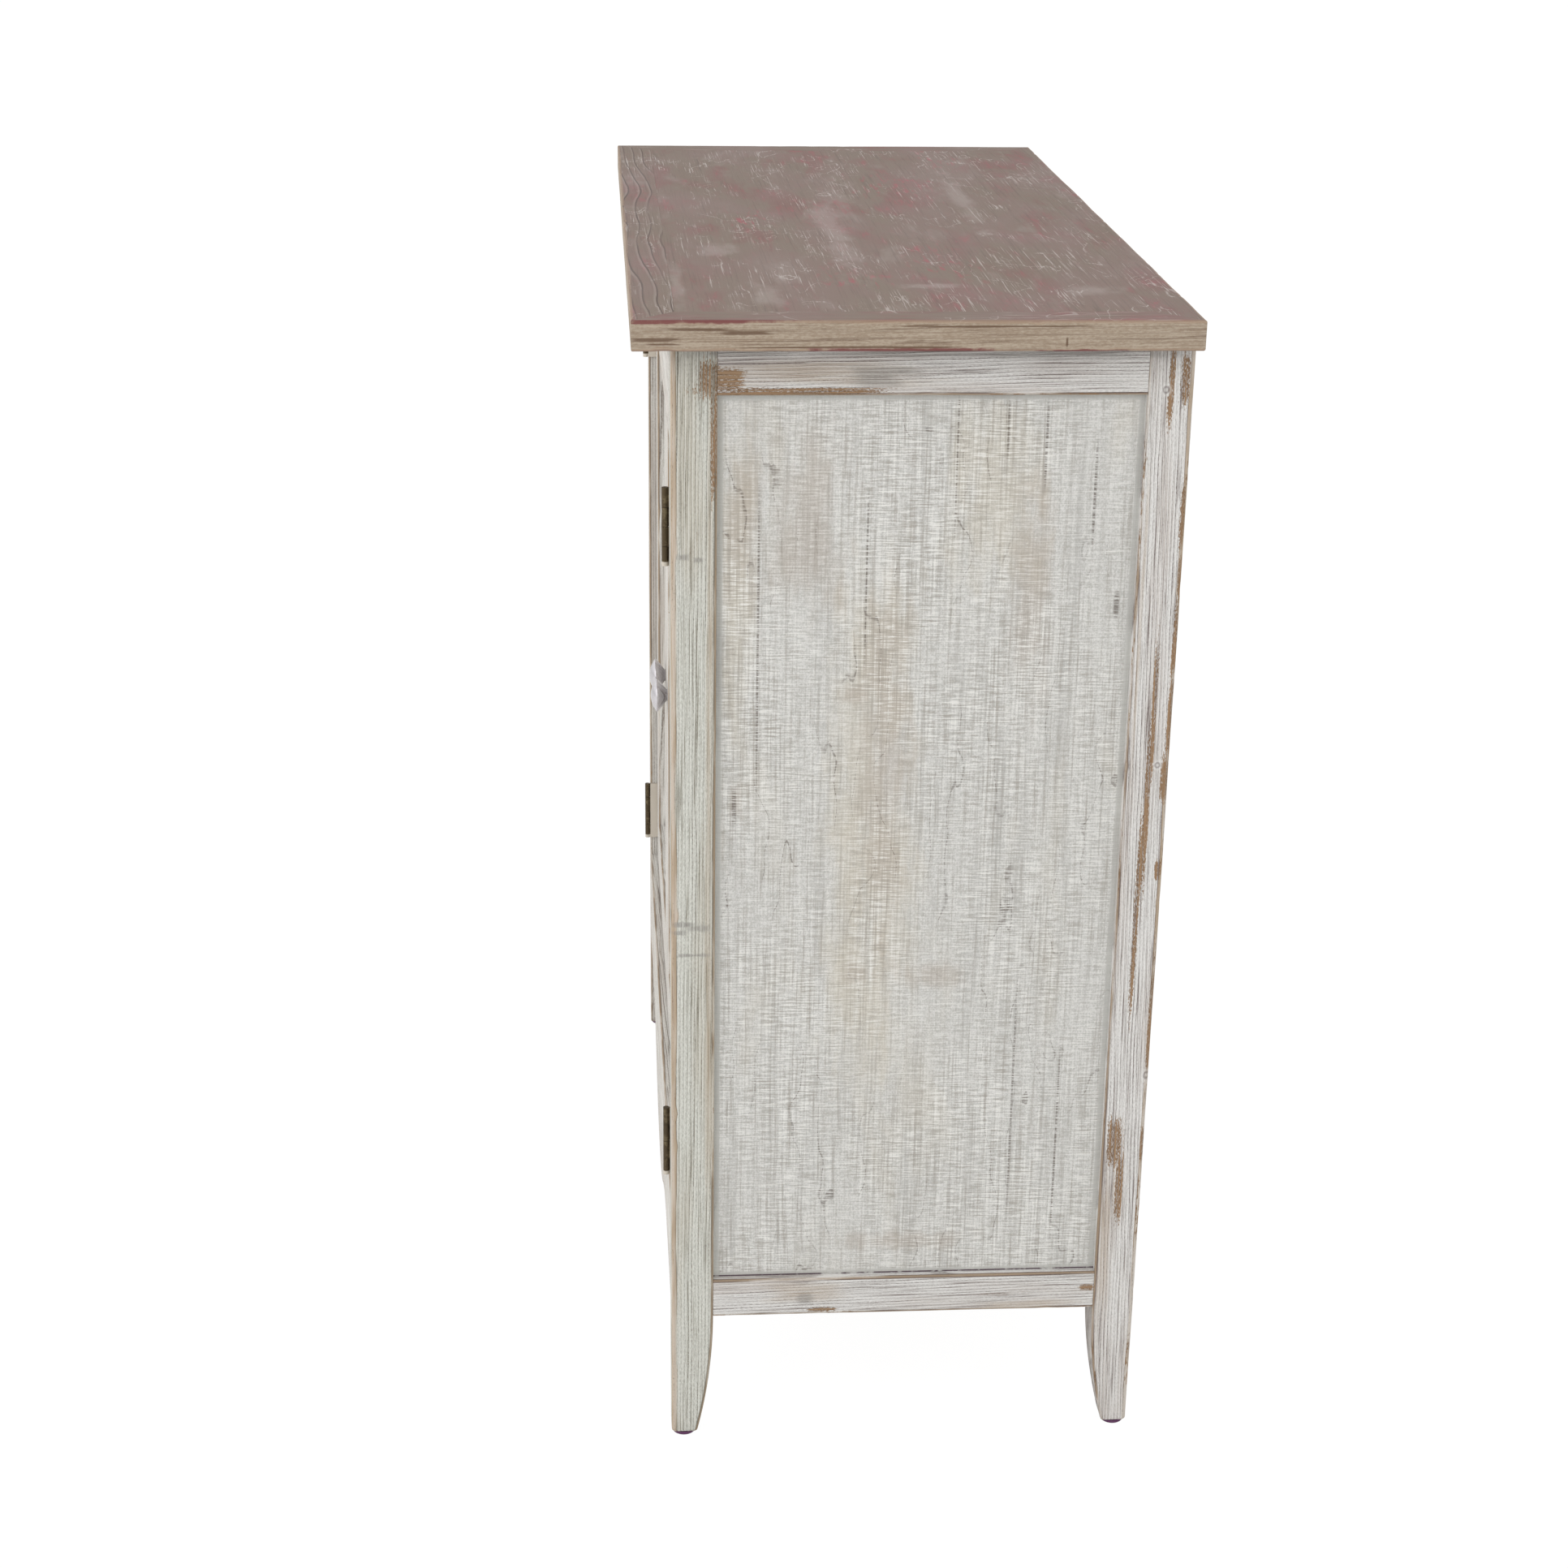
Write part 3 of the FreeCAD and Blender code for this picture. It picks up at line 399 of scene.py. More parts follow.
class EdgeWear(Effect):
    """Where finish is rubbed off along arrises, with a ragged border."""

    title = "edge wear"
    inputs = {"Edge": 1.0, "Reach": 0.002, "Amount": 0.5}
    outputs = ("Mask",)

    def draw(self, graph: Graph, source: Sockets) -> dict[str, Socket]:
        """Lets a noise set how far the wear reaches at each place.

        Args:
            graph: The group's tree.
            source: Its inputs.

        Returns:
            What each output gets.
        """
        place = source["Coordinates"]
        broad = graph.noise(place, (30, 30, 14), 2.0)
        fine = graph.noise(place, (600, 600, 120), 3.0, 0.65)
        high = graph.minus(1.0, source["Amount"])
        level = graph.shares(broad, 0.6, fine, 0.4)
        local = graph.ramp(level, graph.calc("MULTIPLY_ADD", high, 0.4, 0.25),
                           graph.calc("MULTIPLY_ADD", high, 0.4, 0.45))
        reach = graph.times(local, source["Reach"])
        behind = graph.plus(source["Edge"], 0.0003)
        depth = graph.calc("DIVIDE", behind, graph.most(reach, 0.00002))
        return {"Mask": graph.ramp(depth, 0.7, 1.15, 1.0, 0.0)}


class SawMarks(Effect):
    """Scratches that a saw or a coarse sander leaves across the grain."""

    title = "saw marks"
    inputs = {"Spacing": 600.0, "Length": 60.0, "Slope": 0.02}
    outputs = ("Height",)

    def draw(self, graph: Graph, source: Sockets) -> dict[str, Socket]:
        """Squeezes a noise along the grain, slightly out of level.

        Args:
            graph: The group's tree.
            source: Its inputs.

        Returns:
            What each output gets.
        """
        parts = graph.node("SeparateXYZ", {0: source["Coordinates"]}).outputs
        across = graph.plus(parts[0], parts[1])
        level = graph.calc("MULTIPLY_ADD", across, source["Slope"], parts[2])
        drawn = graph.combine(graph.times(across, source["Length"]),
                              graph.times(level, source["Spacing"]))
        return {"Height": graph.scatter(drawn, 1.0, 3.0, 0.6)}


class Blotches(Effect):
    """Soft-edged patches of uneven colour."""

    title = "blotches"
    inputs = {"Across": 20.0, "Along": 8.0, "Low": 0.5, "High": 0.6, "Shift": 0.0}
    outputs = ("Mask",)

    def draw(self, graph: Graph, source: Sockets) -> dict[str, Socket]:
        """Steps a stretched noise.

        Args:
            graph: The group's tree.
            source: Its inputs.

        Returns:
            What each output gets.
        """
        across, along = source["Across"], source["Along"]
        drawn = graph.combine(across, across, along)
        spot = graph.vector("MULTIPLY", source["Coordinates"], drawn)
        shift = graph.combine(source["Shift"], source["Shift"])
        value = graph.scatter(graph.vector("ADD", spot, shift), 1.0, 4.0, 0.55, 0.3)
        return {"Mask": graph.ramp(value, source["Low"], source["High"])}


class Spot(Effect):
    """One ragged place of a given centre and half size."""

    title = "spot"
    inputs = {"Centre": (0, 0, 0), "Half Size": (0.01, 0.01, 0.02), "Rough": 0.5, "Ragged": 2.0,
              "Soft": 0.25}
    outputs = ("Mask", "Far")

    def draw(self, graph: Graph, source: Sockets) -> dict[str, Socket]:
        """Measures the distance from the centre in half sizes and roughens it, as a rounded block.

        Args:
            graph: The group's tree.
            source: Its inputs.

        Returns:
            What each output gets.
        """
        away = graph.vector("DIVIDE", graph.vector("SUBTRACT", source["Coordinates"], source["Centre"]),
                            source["Half Size"])
        far = graph.node("VectorMath", {0: away}, operation="LENGTH").outputs["Value"]
        square = graph.vector("MULTIPLY", away, away)
        fourth = graph.node("VectorMath", {0: square, 1: square}, operation="DOT_PRODUCT").outputs["Value"]
        blocky = graph.calc("POWER", fourth, 0.25)
        rough = graph.minus(source["Rough"], 0.5)
        ragged = graph.calc("MULTIPLY_ADD", rough, source["Ragged"], blocky)
        low = graph.minus(1.0, source["Soft"])
        high = graph.plus(1.0, source["Soft"])
        return {"Mask": graph.ramp(ragged, low, high, 1.0, 0.0), "Far": far}


GRAIN = Grain()
GROWTH_RINGS = GrowthRings()
EDGE_WEAR = EdgeWear()
SAW_MARKS = SawMarks()
BLOTCHES = Blotches()
SPOT = Spot()


# Finishes


class Mark(enum.Enum):
    """What a placed mark does to a wooden surface."""

    BARE = "finish rubbed down to the wood"
    TINT = "a soft stain"
    # The smudge kind also places painted shade: the dark patch on the back right leg's inner face.
    SMUDGE = "a grey smudge"
    KNOT = "a small knot"
    CRACK = "a thin broken crack"


MARK_DEPTH = 0.004
TOP_MARK_DEPTH = 0.01


@dataclass(frozen=True)
class Placed:
    """One mark at a chosen place.

    Attributes:
        mark: What it is.
        centre: Its middle in the row frame, in metres.
        half: Its half sizes along the row axes.
    """

    mark: Mark
    centre: tuple[float, float, float]
    half: tuple[float, float, float]


def side_marks(face: float, mark: Mark, *places: tuple[float, float, float, float]) -> tuple[Placed, ...]:
    """Marks of one kind on the cabinet's right side.

    Args:
        face: Where the marked face stands on the X axis, in metres.
        mark: What the marks are.
        *places: For each mark its Y and Z and its half sizes along them, in millimetres.

    Returns:
        The placed marks.
    """
    return tuple(Placed(mark, (face, y / 1000, z / 1000), (MARK_DEPTH, half_y / 1000, half_z / 1000))
                 for y, z, half_y, half_z in places)


class Finish:
    """A material with the surface shader that all finishes share.

    Attributes:
        title: The material's name.
        marks: The marks placed on it.
    """

    title: str
    marks: Sequence[Placed] = ()

    def material(self) -> bpy.types.Material:
        """The finish's material, made on first use.

        Returns:
            The material.
        """
        kept = bpy.data.materials.get(self.title)
        if kept is not None:
            return kept
        made = bpy.data.materials.new(self.title)
        made.use_nodes = True
        made.node_tree.nodes.clear()
        graph = Graph(made.node_tree)
        shader = graph.node("BsdfPrincipled", {})
        output = graph.node("OutputMaterial", {})
        made.node_tree.links.new(shader.outputs["BSDF"], output.inputs["Surface"])
        self.paint(graph, shader)
        return made

    def paint(self, graph: Graph, shader: Node) -> None:
        """Sets the shader's inputs.

        Args:
            graph: The material's tree.
            shader: Its Principled BSDF.
        """
        raise NotImplementedError

    @staticmethod
    def relief(graph: Graph, shader: Node, height: object, distance: float,
               strength: float = 1.0) -> None:
        """Raises the surface by a height.

        Args:
            graph: The material's tree.
            shader: The shader whose normal it changes.
            height: The height, from 0 to 1.
            distance: What a height of 1 measures, in metres.
            strength: How strongly it shows.
        """
        bump = graph.node("Bump", {"Height": height, "Distance": distance, "Strength": strength})
        graph.feed(shader.inputs["Normal"], bump.outputs["Normal"])

    @staticmethod
    def grain_place(graph: Graph) -> Socket:
        """The piece's own grain coordinates: two across, then along, in metres."""
        return graph.node("Attribute", {}, attribute_name="grain").outputs["Vector"]

    @staticmethod
    def edge_place(graph: Graph) -> Socket:
        """The distance from the nearest worn arris, in metres."""
        return graph.node("Attribute", {}, attribute_name="edge").outputs["Fac"]

    @staticmethod
    def row_place(graph: Graph) -> Socket:
        """Where a point lies in the row frame while the doors are shut, in metres."""
        return graph.node("TexCoord", {}).outputs["Object"]

    def marked(self, graph: Graph, mark: Mark, rough: object, ragged: float, soft: float) -> Socket | None:
        """The mask of all placed marks of one kind.

        Args:
            graph: The material's tree.
            mark: Which kind.
            rough: A noise that makes their borders ragged.
            ragged: How strongly it does.
            soft: How soft their borders are.

        Returns:
            The mask, or None where there is no such mark.
        """
        mask = None
        here = self.row_place(graph)
        for placed in self.marks:
            if placed.mark is not mark:
                continue
            spot = SPOT.place(graph, here, Centre=placed.centre, Half_Size=placed.half, Rough=rough,
                              Ragged=ragged, Soft=soft)["Mask"]
            mask = spot if mask is None else graph.most(mask, spot)
        return mask

    @staticmethod
    def stained(graph: Graph, colour: object, tint: Colour, spots: object, strong: float) -> object:
        """A colour with a mask of marks tinted, or as it is where there are none.

        Args:
            graph: The material's tree.
            colour: The colour below.
            tint: The marks' colour.
            spots: Their mask, or None.
            strong: How strongly they show.

        Returns:
            The colour.
        """
        return colour if spots is None else graph.blend(graph.times(spots, strong), colour, tint)

    def knots(self, graph: Graph, colour: object, dark: Colour, pale: Colour) -> Socket:
        """Paints the placed knots: a soft dark ring in a pale halo.

        Args:
            graph: The material's tree.
            colour: The colour around them.
            dark: The ring's colour.
            pale: The halo's colour.

        Returns:
            The colour with the knots.
        """
        here = self.row_place(graph)
        for placed in self.marks:
            if placed.mark is not Mark.KNOT:
                continue
            far = SPOT.place(graph, here, Centre=placed.centre, Half_Size=placed.half)["Far"]
            halo = graph.times(graph.ramp(far, 1.2, 2.4, 1.0, 0.0), 0.35)
            colour = graph.blend(halo, colour, pale)
            away = graph.calc("ABSOLUTE", graph.minus(far, 0.8))
            colour = graph.blend(graph.ramp(away, 0.0, 0.6, 0.55, 0.0), colour, dark)
        return colour


@dataclass(frozen=True)
class Whitewash(Finish):
    """Off-white wash, wire-brushed so that the wood shows in its valleys and at its edges.

    Attributes:
        spacing: Distance between the brushed valleys, in metres.
        waviness: How far they bend from straight lines, in metres.
        rubbed: How much of the arrises is rubbed bare, from 0 to 1.
        corner: How much of that shows on the wide corners.
    """

    title: str = "whitewash"
    pale: Colour = tone(210, 211, 204)
    wash: Colour = tone(177, 177, 169)
    warm: Colour = tone(178, 170, 154)
    ridge: Colour = tone(224, 224, 217)
    fibre: Colour = tone(136, 132, 119)
    valley: Colour = tone(98, 90, 77)
    cream: Colour = tone(194, 181, 167)
    tan: Colour = tone(166, 146, 122)
    wood: Colour = tone(150, 121, 92)
    dark_wood: Colour = tone(114, 89, 66)
    grey: Colour = tone(136, 132, 128)
    spacing: float = 0.0026
    waviness: float = 0.004
    rubbed: float = 0.14
    corner: float = 0.1
    marks: tuple[Placed, ...] = ()

    def paint(self, graph: Graph, shader: Node) -> None:
        """Layers wash, brushed valleys, worn arrises and placed marks.

        Args:
            graph: The material's tree.
            shader: Its shader.
        """
        place = self.grain_place(graph)
        edge = self.edge_place(graph)
        streaks = GRAIN.place(graph, place, Across=820.0, Along=13.0, Waviness=0.002)["Streaks"]
        specks = graph.noise(place, (1300, 1300, 420), 3.0, 0.7)
        rings = GROWTH_RINGS.place(graph, place, Spacing=self.spacing, Waviness=self.waviness, Width=0.27)
        fade = graph.noise(place, (150, 150, 11), 3.0, 0.6)
        zones = graph.noise(place, (45, 45, 6), 2.0)
        colour = graph.blend(graph.ramp(specks, 0.34, 0.64), self.wash, self.pale)
        colour = graph.blend(graph.ramp(zones, 0.46, 0.68, 0.0, 0.5), colour, self.warm)
        colour = graph.blend(graph.times(rings["Ridge"], 0.6), colour, self.ridge)
        colour = graph.blend(graph.ramp(streaks, 0.52, 0.68, 0.0, 0.85), colour, self.fibre)
        strength = graph.times(graph.ramp(rings["Ring"], 0.1, 0.8, 0.3, 1.0),
                               graph.ramp(fade, 0.36, 0.56, 0.25, 1.0))
        valley = graph.times(rings["Line"], strength)
        valley = graph.times(valley, graph.ramp(specks, 0.38, 0.62, 0.95, 0.45))
        colour = graph.blend(valley, colour, self.valley)
        rounded = graph.ramp(edge, -0.0017, -0.0011, 1.0, 0.0)
        plain = graph.calc("MULTIPLY_ADD", rounded, self.corner - 1.0, 1.0)
        colour = self.arrises(graph, colour, edge, fade, rounded)
        ragged = graph.shares(streaks, 0.5, specks, 0.5)
        colour = graph.blend(graph.ramp(ragged, 0.55, 0.64, 0.0, 0.55), colour, self.valley)
        rubbed = graph.most(edge, 0.0)
        bare = EDGE_WEAR.place(graph, place, Edge=rubbed, Reach=0.0034, Amount=self.rubbed)["Mask"]
        bare = graph.times(bare, plain)
        thin = BLOTCHES.place(graph, place, Across=70.0, Along=11.0, Low=0.65, High=0.73)["Mask"]
        thin = graph.times(thin, graph.ramp(streaks, 0.46, 0.62, 0.0, 0.8))
        bare = graph.most(bare, thin)
        spots = self.marked(graph, Mark.BARE, ragged, 3.6, 0.18)
        if spots is not None:
            bare = graph.most(bare, spots)
        bare = graph.times(bare, graph.ramp(ragged, 0.50, 0.58, 1.0, 0.2))
        wood = graph.blend(graph.ramp(streaks, 0.40, 0.60), self.wood, self.dark_wood)
        colour = graph.blend(bare, colour, wood)
        drift = graph.shares(fade, 0.4, streaks, 0.6)
        # The smudges' grey also paints the shade on the back right leg's inner face.
        for mark, tint, strong in ((Mark.TINT, self.tan, 0.55), (Mark.SMUDGE, self.grey, 0.8)):
            spots = self.marked(graph, mark, drift, 4.5, 0.5)
            if spots is not None:
                strong = graph.ramp(streaks, 0.40, 0.58, 0.45 * strong, strong)
                colour = graph.blend(graph.times(spots, strong), colour, tint)
        colour = self.knots(graph, colour, self.valley, self.ridge)
        graph.feed(shader.inputs["Base Color"], colour)
        graph.feed(shader.inputs["Roughness"], graph.ramp(bare, 0.0, 1.0, 0.82, 0.6))
        shader.inputs["Specular IOR Level"].default_value = 0.3
        height = graph.calc("MULTIPLY_ADD", rings["Ridge"], 0.3, graph.times(specks, 0.35))
        for hollow, depth in ((rings["Line"], 0.5), (streaks, 0.7), (bare, 0.3)):
            height = graph.minus(height, graph.times(hollow, depth))
        self.relief(graph, shader, height, 0.0006, 0.7)

    def arrises(self, graph: Graph, colour: object, edge: object, fade: object, rounded: object) -> Socket:
        """Paints the arrises: broken tan on the small ones, rubbed cream on the wide ones.

        Args:
            graph: The material's tree.
            colour: The colour so far.
            edge: The distance from an arris, negative on a wide one.
            fade: A slow noise along the grain.
            rounded: The mask of the wide arrises.

        Returns:
            The colour with its arrises.
        """
        hem = graph.times(graph.ramp(edge, 0.0004, 0.0015, 1.0, 0.0),
                          graph.ramp(fade, 0.38, 0.56, 0.25, 0.95))
        colour = graph.blend(hem, colour, self.tan)
        beside = graph.times(graph.ramp(edge, -0.0002, 0.0003), graph.ramp(edge, 0.0012, 0.0020, 1.0, 0.0))
        beside = graph.times(beside, graph.ramp(fade, 0.40, 0.58, 0.0, 0.7))
        colour = graph.blend(beside, colour, self.valley)
        cream = graph.blend(graph.ramp(fade, 0.42, 0.60, 0.0, 0.75), self.cream, self.tan)
        return graph.blend(graph.times(rounded, 0.9), colour, cream)


@dataclass(frozen=True)
class SawnPanel(Finish):
    """Cooler grey-white wash over a sawn panel: upright streaks under fine cross scratches, with painted
    shade and highlight.

    Attributes:
        seam: Height of the panel's lower edge, where painted shade darkens the groove.
    """

    title: str = "sawn panel"
    pale: Colour = tone(209, 208, 206)
    wash: Colour = tone(183, 183, 179)
    cool: Colour = tone(164, 163, 160)
    streak: Colour = tone(144, 137, 129)
    warm: Colour = tone(196, 187, 168)
    brown: Colour = tone(164, 152, 140)
    crack: Colour = tone(92, 82, 74)
    scratch: Colour = tone(228, 227, 223)
    shadow: Colour = tone(156, 151, 143)
    plum: Colour = tone(74, 48, 64)
    rim: Colour = tone(196, 196, 192)
    seam: float = 0.0
    marks: tuple[Placed, ...] = ()

    def paint(self, graph: Graph, shader: Node) -> None:
        """Layers upright streaks, cross scratches with painted shade and highlight, patches and cracks.

        Args:
            graph: The material's tree.
            shader: Its shader.
        """
        place = self.grain_place(graph)
        edge = self.edge_place(graph)
        here = self.row_place(graph)
        streaks = GRAIN.place(graph, place, Across=640.0, Along=16.0, Waviness=0.004)["Streaks"]
        soft = GRAIN.place(graph, place, Across=95.0, Along=5.0, Waviness=0.02)["Streaks"]
        specks = graph.noise(place, (900, 900, 700), 3.0, 0.7)
        short = SAW_MARKS.place(graph, place, Spacing=900.0, Length=62.0, Slope=0.012)["Height"]
        long = SAW_MARKS.place(graph, place, Spacing=820.0, Length=20.0, Slope=-0.012)["Height"]
        cloud = graph.noise(place, (12, 12, 7), 3.0, 0.55, 0.4)
        drift = graph.noise(place, (70, 70, 22), 4.0, 0.6)
        colour = graph.blend(graph.ramp(specks, 0.36, 0.64), self.wash, self.pale)
        colour = graph.blend(graph.ramp(soft, 0.46, 0.72, 0.0, 0.5), colour, self.cool)
        colour = graph.blend(graph.ramp(streaks, 0.52, 0.72, 0.0, 0.35), colour, self.streak)
        warm = BLOTCHES.place(graph, place, Across=20.0, Along=7.0, Low=0.52, High=0.74, Shift=3.0)["Mask"]
        colour = graph.blend(graph.times(warm, 0.25), colour, self.warm)
        for mark, tint, strong in ((Mark.TINT, self.warm, 0.4), (Mark.SMUDGE, self.brown, 0.45)):
            spots = self.marked(graph, mark, drift, 3.4, 0.75)
            colour = self.stained(graph, colour, tint, spots, strong)
        amount = graph.ramp(cloud, 0.36, 0.62, 0.45, 1.0)
        # The saw marks' weave: painted shade on its dark side, and whitish scratches with painted
        # highlight on its light side and on the long marks.
        weave = graph.shares(short, 0.64, streaks, 0.36)
        dark = graph.times(graph.ramp(weave, 0.50, 0.60, 0.0, 0.75), amount)
        colour = graph.blend(dark, colour, self.shadow)
        light = graph.times(graph.ramp(weave, 0.40, 0.49, 0.85, 0.0), amount)
        colour = graph.blend(light, colour, self.scratch)
        colour = graph.blend(graph.ramp(long, 0.60, 0.68, 0.0, 0.55), colour, self.scratch)
        rings = GROWTH_RINGS.place(graph, place, Spacing=0.021, Waviness=0.09, Wobble=0.05, Width=0.05)
        dots = graph.ramp(short, 0.44, 0.54, 0.1, 1.0)
        fade = graph.noise(place, (30, 30, 9), 3.0)
        crack = graph.times(rings["Line"], graph.ramp(fade, 0.44, 0.60, 0.0, 0.6))
        ragged = graph.shares(short, 0.6, soft, 0.4)
        spots = self.marked(graph, Mark.CRACK, ragged, 1.0, 0.35)
        if spots is not None:
            crack = graph.most(crack, graph.times(spots, 0.7))
        crack = graph.times(crack, dots)
        colour = graph.blend(crack, colour, self.crack)
        colour = graph.blend(graph.ramp(edge, 0.0035, 0.0052, 0.75, 0.0), colour, self.rim)
        # Painted shade in the groove gap: a dark plum dashed line along the panel's lower edge.
        height_above = graph.minus(graph.node("SeparateXYZ", {0: here}).outputs[2], self.seam)
        dashes = graph.noise(place, (90, 90, 90), 3.0, 0.7)
        groove_shade = graph.times(graph.ramp(height_above, 0.0010, 0.0018, 1.0, 0.0),
                           graph.ramp(dashes, 0.36, 0.50))
        colour = graph.blend(graph.times(groove_shade, 0.9), colour, self.plum)
        graph.feed(shader.inputs["Base Color"], colour)
        graph.feed(shader.inputs["Roughness"], graph.ramp(specks, 0.3, 0.7, 0.7, 0.86))
        shader.inputs["Specular IOR Level"].default_value = 0.3
        height = graph.minus(graph.times(specks, 0.3), short)
        height = graph.minus(height, graph.times(streaks, 0.5))
        height = graph.times(height, graph.ramp(edge, 0.0035, 0.0052))
        self.relief(graph, shader, graph.minus(height, crack), 0.0004, 0.45)


@dataclass(frozen=True)
class TaupeTop(Finish):
    """Weathered taupe stain on the top: blotchy, rubbed rosy in places, limed in scratches.

    Attributes:
        rings: How strongly its growth rings show.
    """

    title: str = "taupe top"
    stain: Colour = tone(121, 101, 92)
    olive: Colour = tone(123, 108, 97)
    rosy: Colour = tone(124, 89, 85)
    red: Colour = tone(150, 80, 86)
    dark: Colour = tone(84, 68, 61)
    lime: Colour = tone(184, 174, 169)
    haze: Colour = tone(147, 134, 127)
    side: Colour = tone(147, 130, 112)
    side_pale: Colour = tone(171, 157, 140)
    side_dark: Colour = tone(92, 68, 50)
    arris: Colour = tone(158, 134, 114)
    worn: Colour = tone(106, 40, 48)
    rings: float = 0.04
    marks: tuple[Placed, ...] = ()

    def paint(self, graph: Graph, shader: Node) -> None:
        """Layers stain, fibres, blotches, limed lines and worn arrises.

        Args:
            graph: The material's tree.
            shader: Its shader.
        """
        place = self.grain_place(graph)
        here = self.row_place(graph)
        edge = self.edge_place(graph)
        streaks = GRAIN.place(graph, place, Across=520.0, Along=7.0, Waviness=0.006)["Streaks"]
        fine = GRAIN.place(graph, place, Across=900.0, Along=13.0, Waviness=0.004)["Streaks"]
        cloud = graph.noise(here, (7, 16, 8), 3.0, 0.5, 0.5)
        colour = graph.blend(graph.ramp(cloud, 0.44, 0.58), self.stain, self.olive)
        rosy = BLOTCHES.place(graph, place, Across=24.0, Along=8.0, Low=0.48, High=0.66, Shift=1.0)["Mask"]
        colour = graph.blend(graph.times(rosy, 0.75), colour, self.rosy)
        haze = BLOTCHES.place(graph, place, Across=34.0, Along=9.0, Low=0.56, High=0.74, Shift=7.0)["Mask"]
        colour = graph.blend(graph.times(haze, 0.5), colour, self.haze)
        colour = graph.blend(graph.ramp(streaks, 0.52, 0.76, 0.0, 0.5), colour, self.dark)
        red = BLOTCHES.place(graph, place, Across=190.0, Along=36.0, Low=0.50, High=0.72,
                             Shift=5.0)["Mask"]
        drift = graph.noise(here, (30, 60, 30), 4.0, 0.6)
        patch = self.marked(graph, Mark.TINT, drift, 3.0, 0.8)
        zone = graph.ramp(rosy, 0.2, 0.8, 0.1, 0.5)
        if patch is not None:
            zone = graph.most(zone, patch)
        colour = graph.blend(graph.times(red, zone), colour, self.red)
        zone = BLOTCHES.place(graph, place, Across=30.0, Along=10.0, Low=0.44, High=0.60,
                              Shift=11.0)["Mask"]
        lime = graph.times(graph.ramp(fine, 0.57, 0.65), zone)
        lime = graph.most(lime, self.swirls(graph, here, zone, fine))
        spots = self.marked(graph, Mark.SMUDGE, drift, 3.4, 0.8)
        colour = self.stained(graph, colour, self.lime, spots, 0.26)
        colour = graph.blend(graph.times(lime, 0.8), colour, self.lime)
        rings = GROWTH_RINGS.place(graph, place, Spacing=0.0095, Waviness=0.042, Wobble=0.02, Width=0.17,
                                   Bends=0.42)
        fade = graph.noise(place, (40, 40, 7), 2.0)
        shown = graph.times(graph.ramp(fade, 0.34, 0.56, 0.35, 1.0), self.rings)
        colour = graph.blend(graph.times(rings["Line"], shown), colour, self.dark)
        pale_side = graph.times(rings["Ridge"], graph.times(shown, 0.22))
        colour = graph.blend(pale_side, colour, self.lime)
        colour = graph.blend(self.upright(graph), colour, self.edge_face(graph, place, streaks, fine))
        bare = EDGE_WEAR.place(graph, place, Edge=edge, Reach=0.0012, Amount=0.9)["Mask"]
        colour = graph.blend(graph.times(bare, 0.55), colour, self.arris)
        worn = EDGE_WEAR.place(graph, place, Edge=edge, Reach=0.0016, Amount=0.10)["Mask"]
        ragged = graph.shares(streaks, 0.4, drift, 0.6)
        spots = self.marked(graph, Mark.BARE, ragged, 4.0, 0.3)
        if spots is not None:
            near = graph.ramp(edge, 0.0006, 0.0022, 1.0, 0.0)
            worn = graph.most(worn, graph.times(spots, near))
        colour = graph.blend(graph.times(worn, 0.8), colour, self.worn)
        graph.feed(shader.inputs["Base Color"], colour)
        graph.feed(shader.inputs["Roughness"], graph.ramp(cloud, 0.3, 0.7, 0.54, 0.68))
        shader.inputs["Specular IOR Level"].default_value = 0.35
        height = graph.calc("MULTIPLY_ADD", rings["Ridge"], graph.times(shown, 0.15),
                            graph.times(fine, -0.6))
        self.relief(graph, shader, graph.minus(height, streaks), 0.0004, 0.4)

    @staticmethod
    def swirls(graph: Graph, here: object, zone: object, fine: object) -> Socket:
        """Curved white scratches, drawn as the level line of a smooth noise.

        Args:
            graph: The material's tree.
            here: The row coordinates.
            zone: Where they may show.
            fine: A fibre noise that breaks them.

        Returns:
            The mask.
        """
        level = graph.noise(here, (14, 26, 14), 2.0, 0.5, 0.8)
        away = graph.calc("ABSOLUTE", graph.minus(level, 0.5))
        line = graph.ramp(away, 0.003, 0.009, 1.0, 0.0)
        line = graph.times(line, graph.ramp(zone, 0.1, 0.7))
        return graph.times(line, graph.ramp(fine, 0.42, 0.56, 0.1, 0.9))

    @staticmethod
    def upright(graph: Graph) -> Socket:
        """A mask of the surfaces that stand upright."""
        level = graph.node("SeparateXYZ", {0: graph.node("NewGeometry", {}).outputs["Normal"]})
        return graph.ramp(graph.calc("ABSOLUTE", level.outputs[2]), 0.35, 0.75, 1.0, 0.0)

    def edge_face(self, graph: Graph, place: object, streaks: object, fine: object) -> Socket:
        """The tan colour of the top's edge, with its own streaks.

        Args:
            graph: The material's tree.
            place: The grain coordinates.
            streaks: The fibres' noise.
            fine: A finer noise of the same kind.

        Returns:
            The colour.
        """
        specks = graph.noise(place, (900, 900, 300), 3.0, 0.7)
        mottled = graph.shares(fine, 0.5, specks, 0.5)
        colour = graph.blend(graph.ramp(mottled, 0.40, 0.60), self.side, self.side_pale)
        colour = graph.blend(graph.ramp(streaks, 0.54, 0.68, 0.0, 0.55), colour, self.side_dark)
        lines = GROWTH_RINGS.place(graph, place, Spacing=0.0042, Waviness=0.009, Width=0.16)
        shown = graph.times(lines["Line"], graph.ramp(lines["Ring"], 0.3, 0.9, 0.0, 0.45))
        shown = graph.times(shown, graph.ramp(specks, 0.36, 0.56, 0.3, 1.0))
        colour = graph.blend(shown, colour, self.side_dark)
        spots = self.marked(graph, Mark.CRACK, fine, 2.0, 0.3)
        return self.stained(graph, colour, self.side_dark, spots, 0.8)


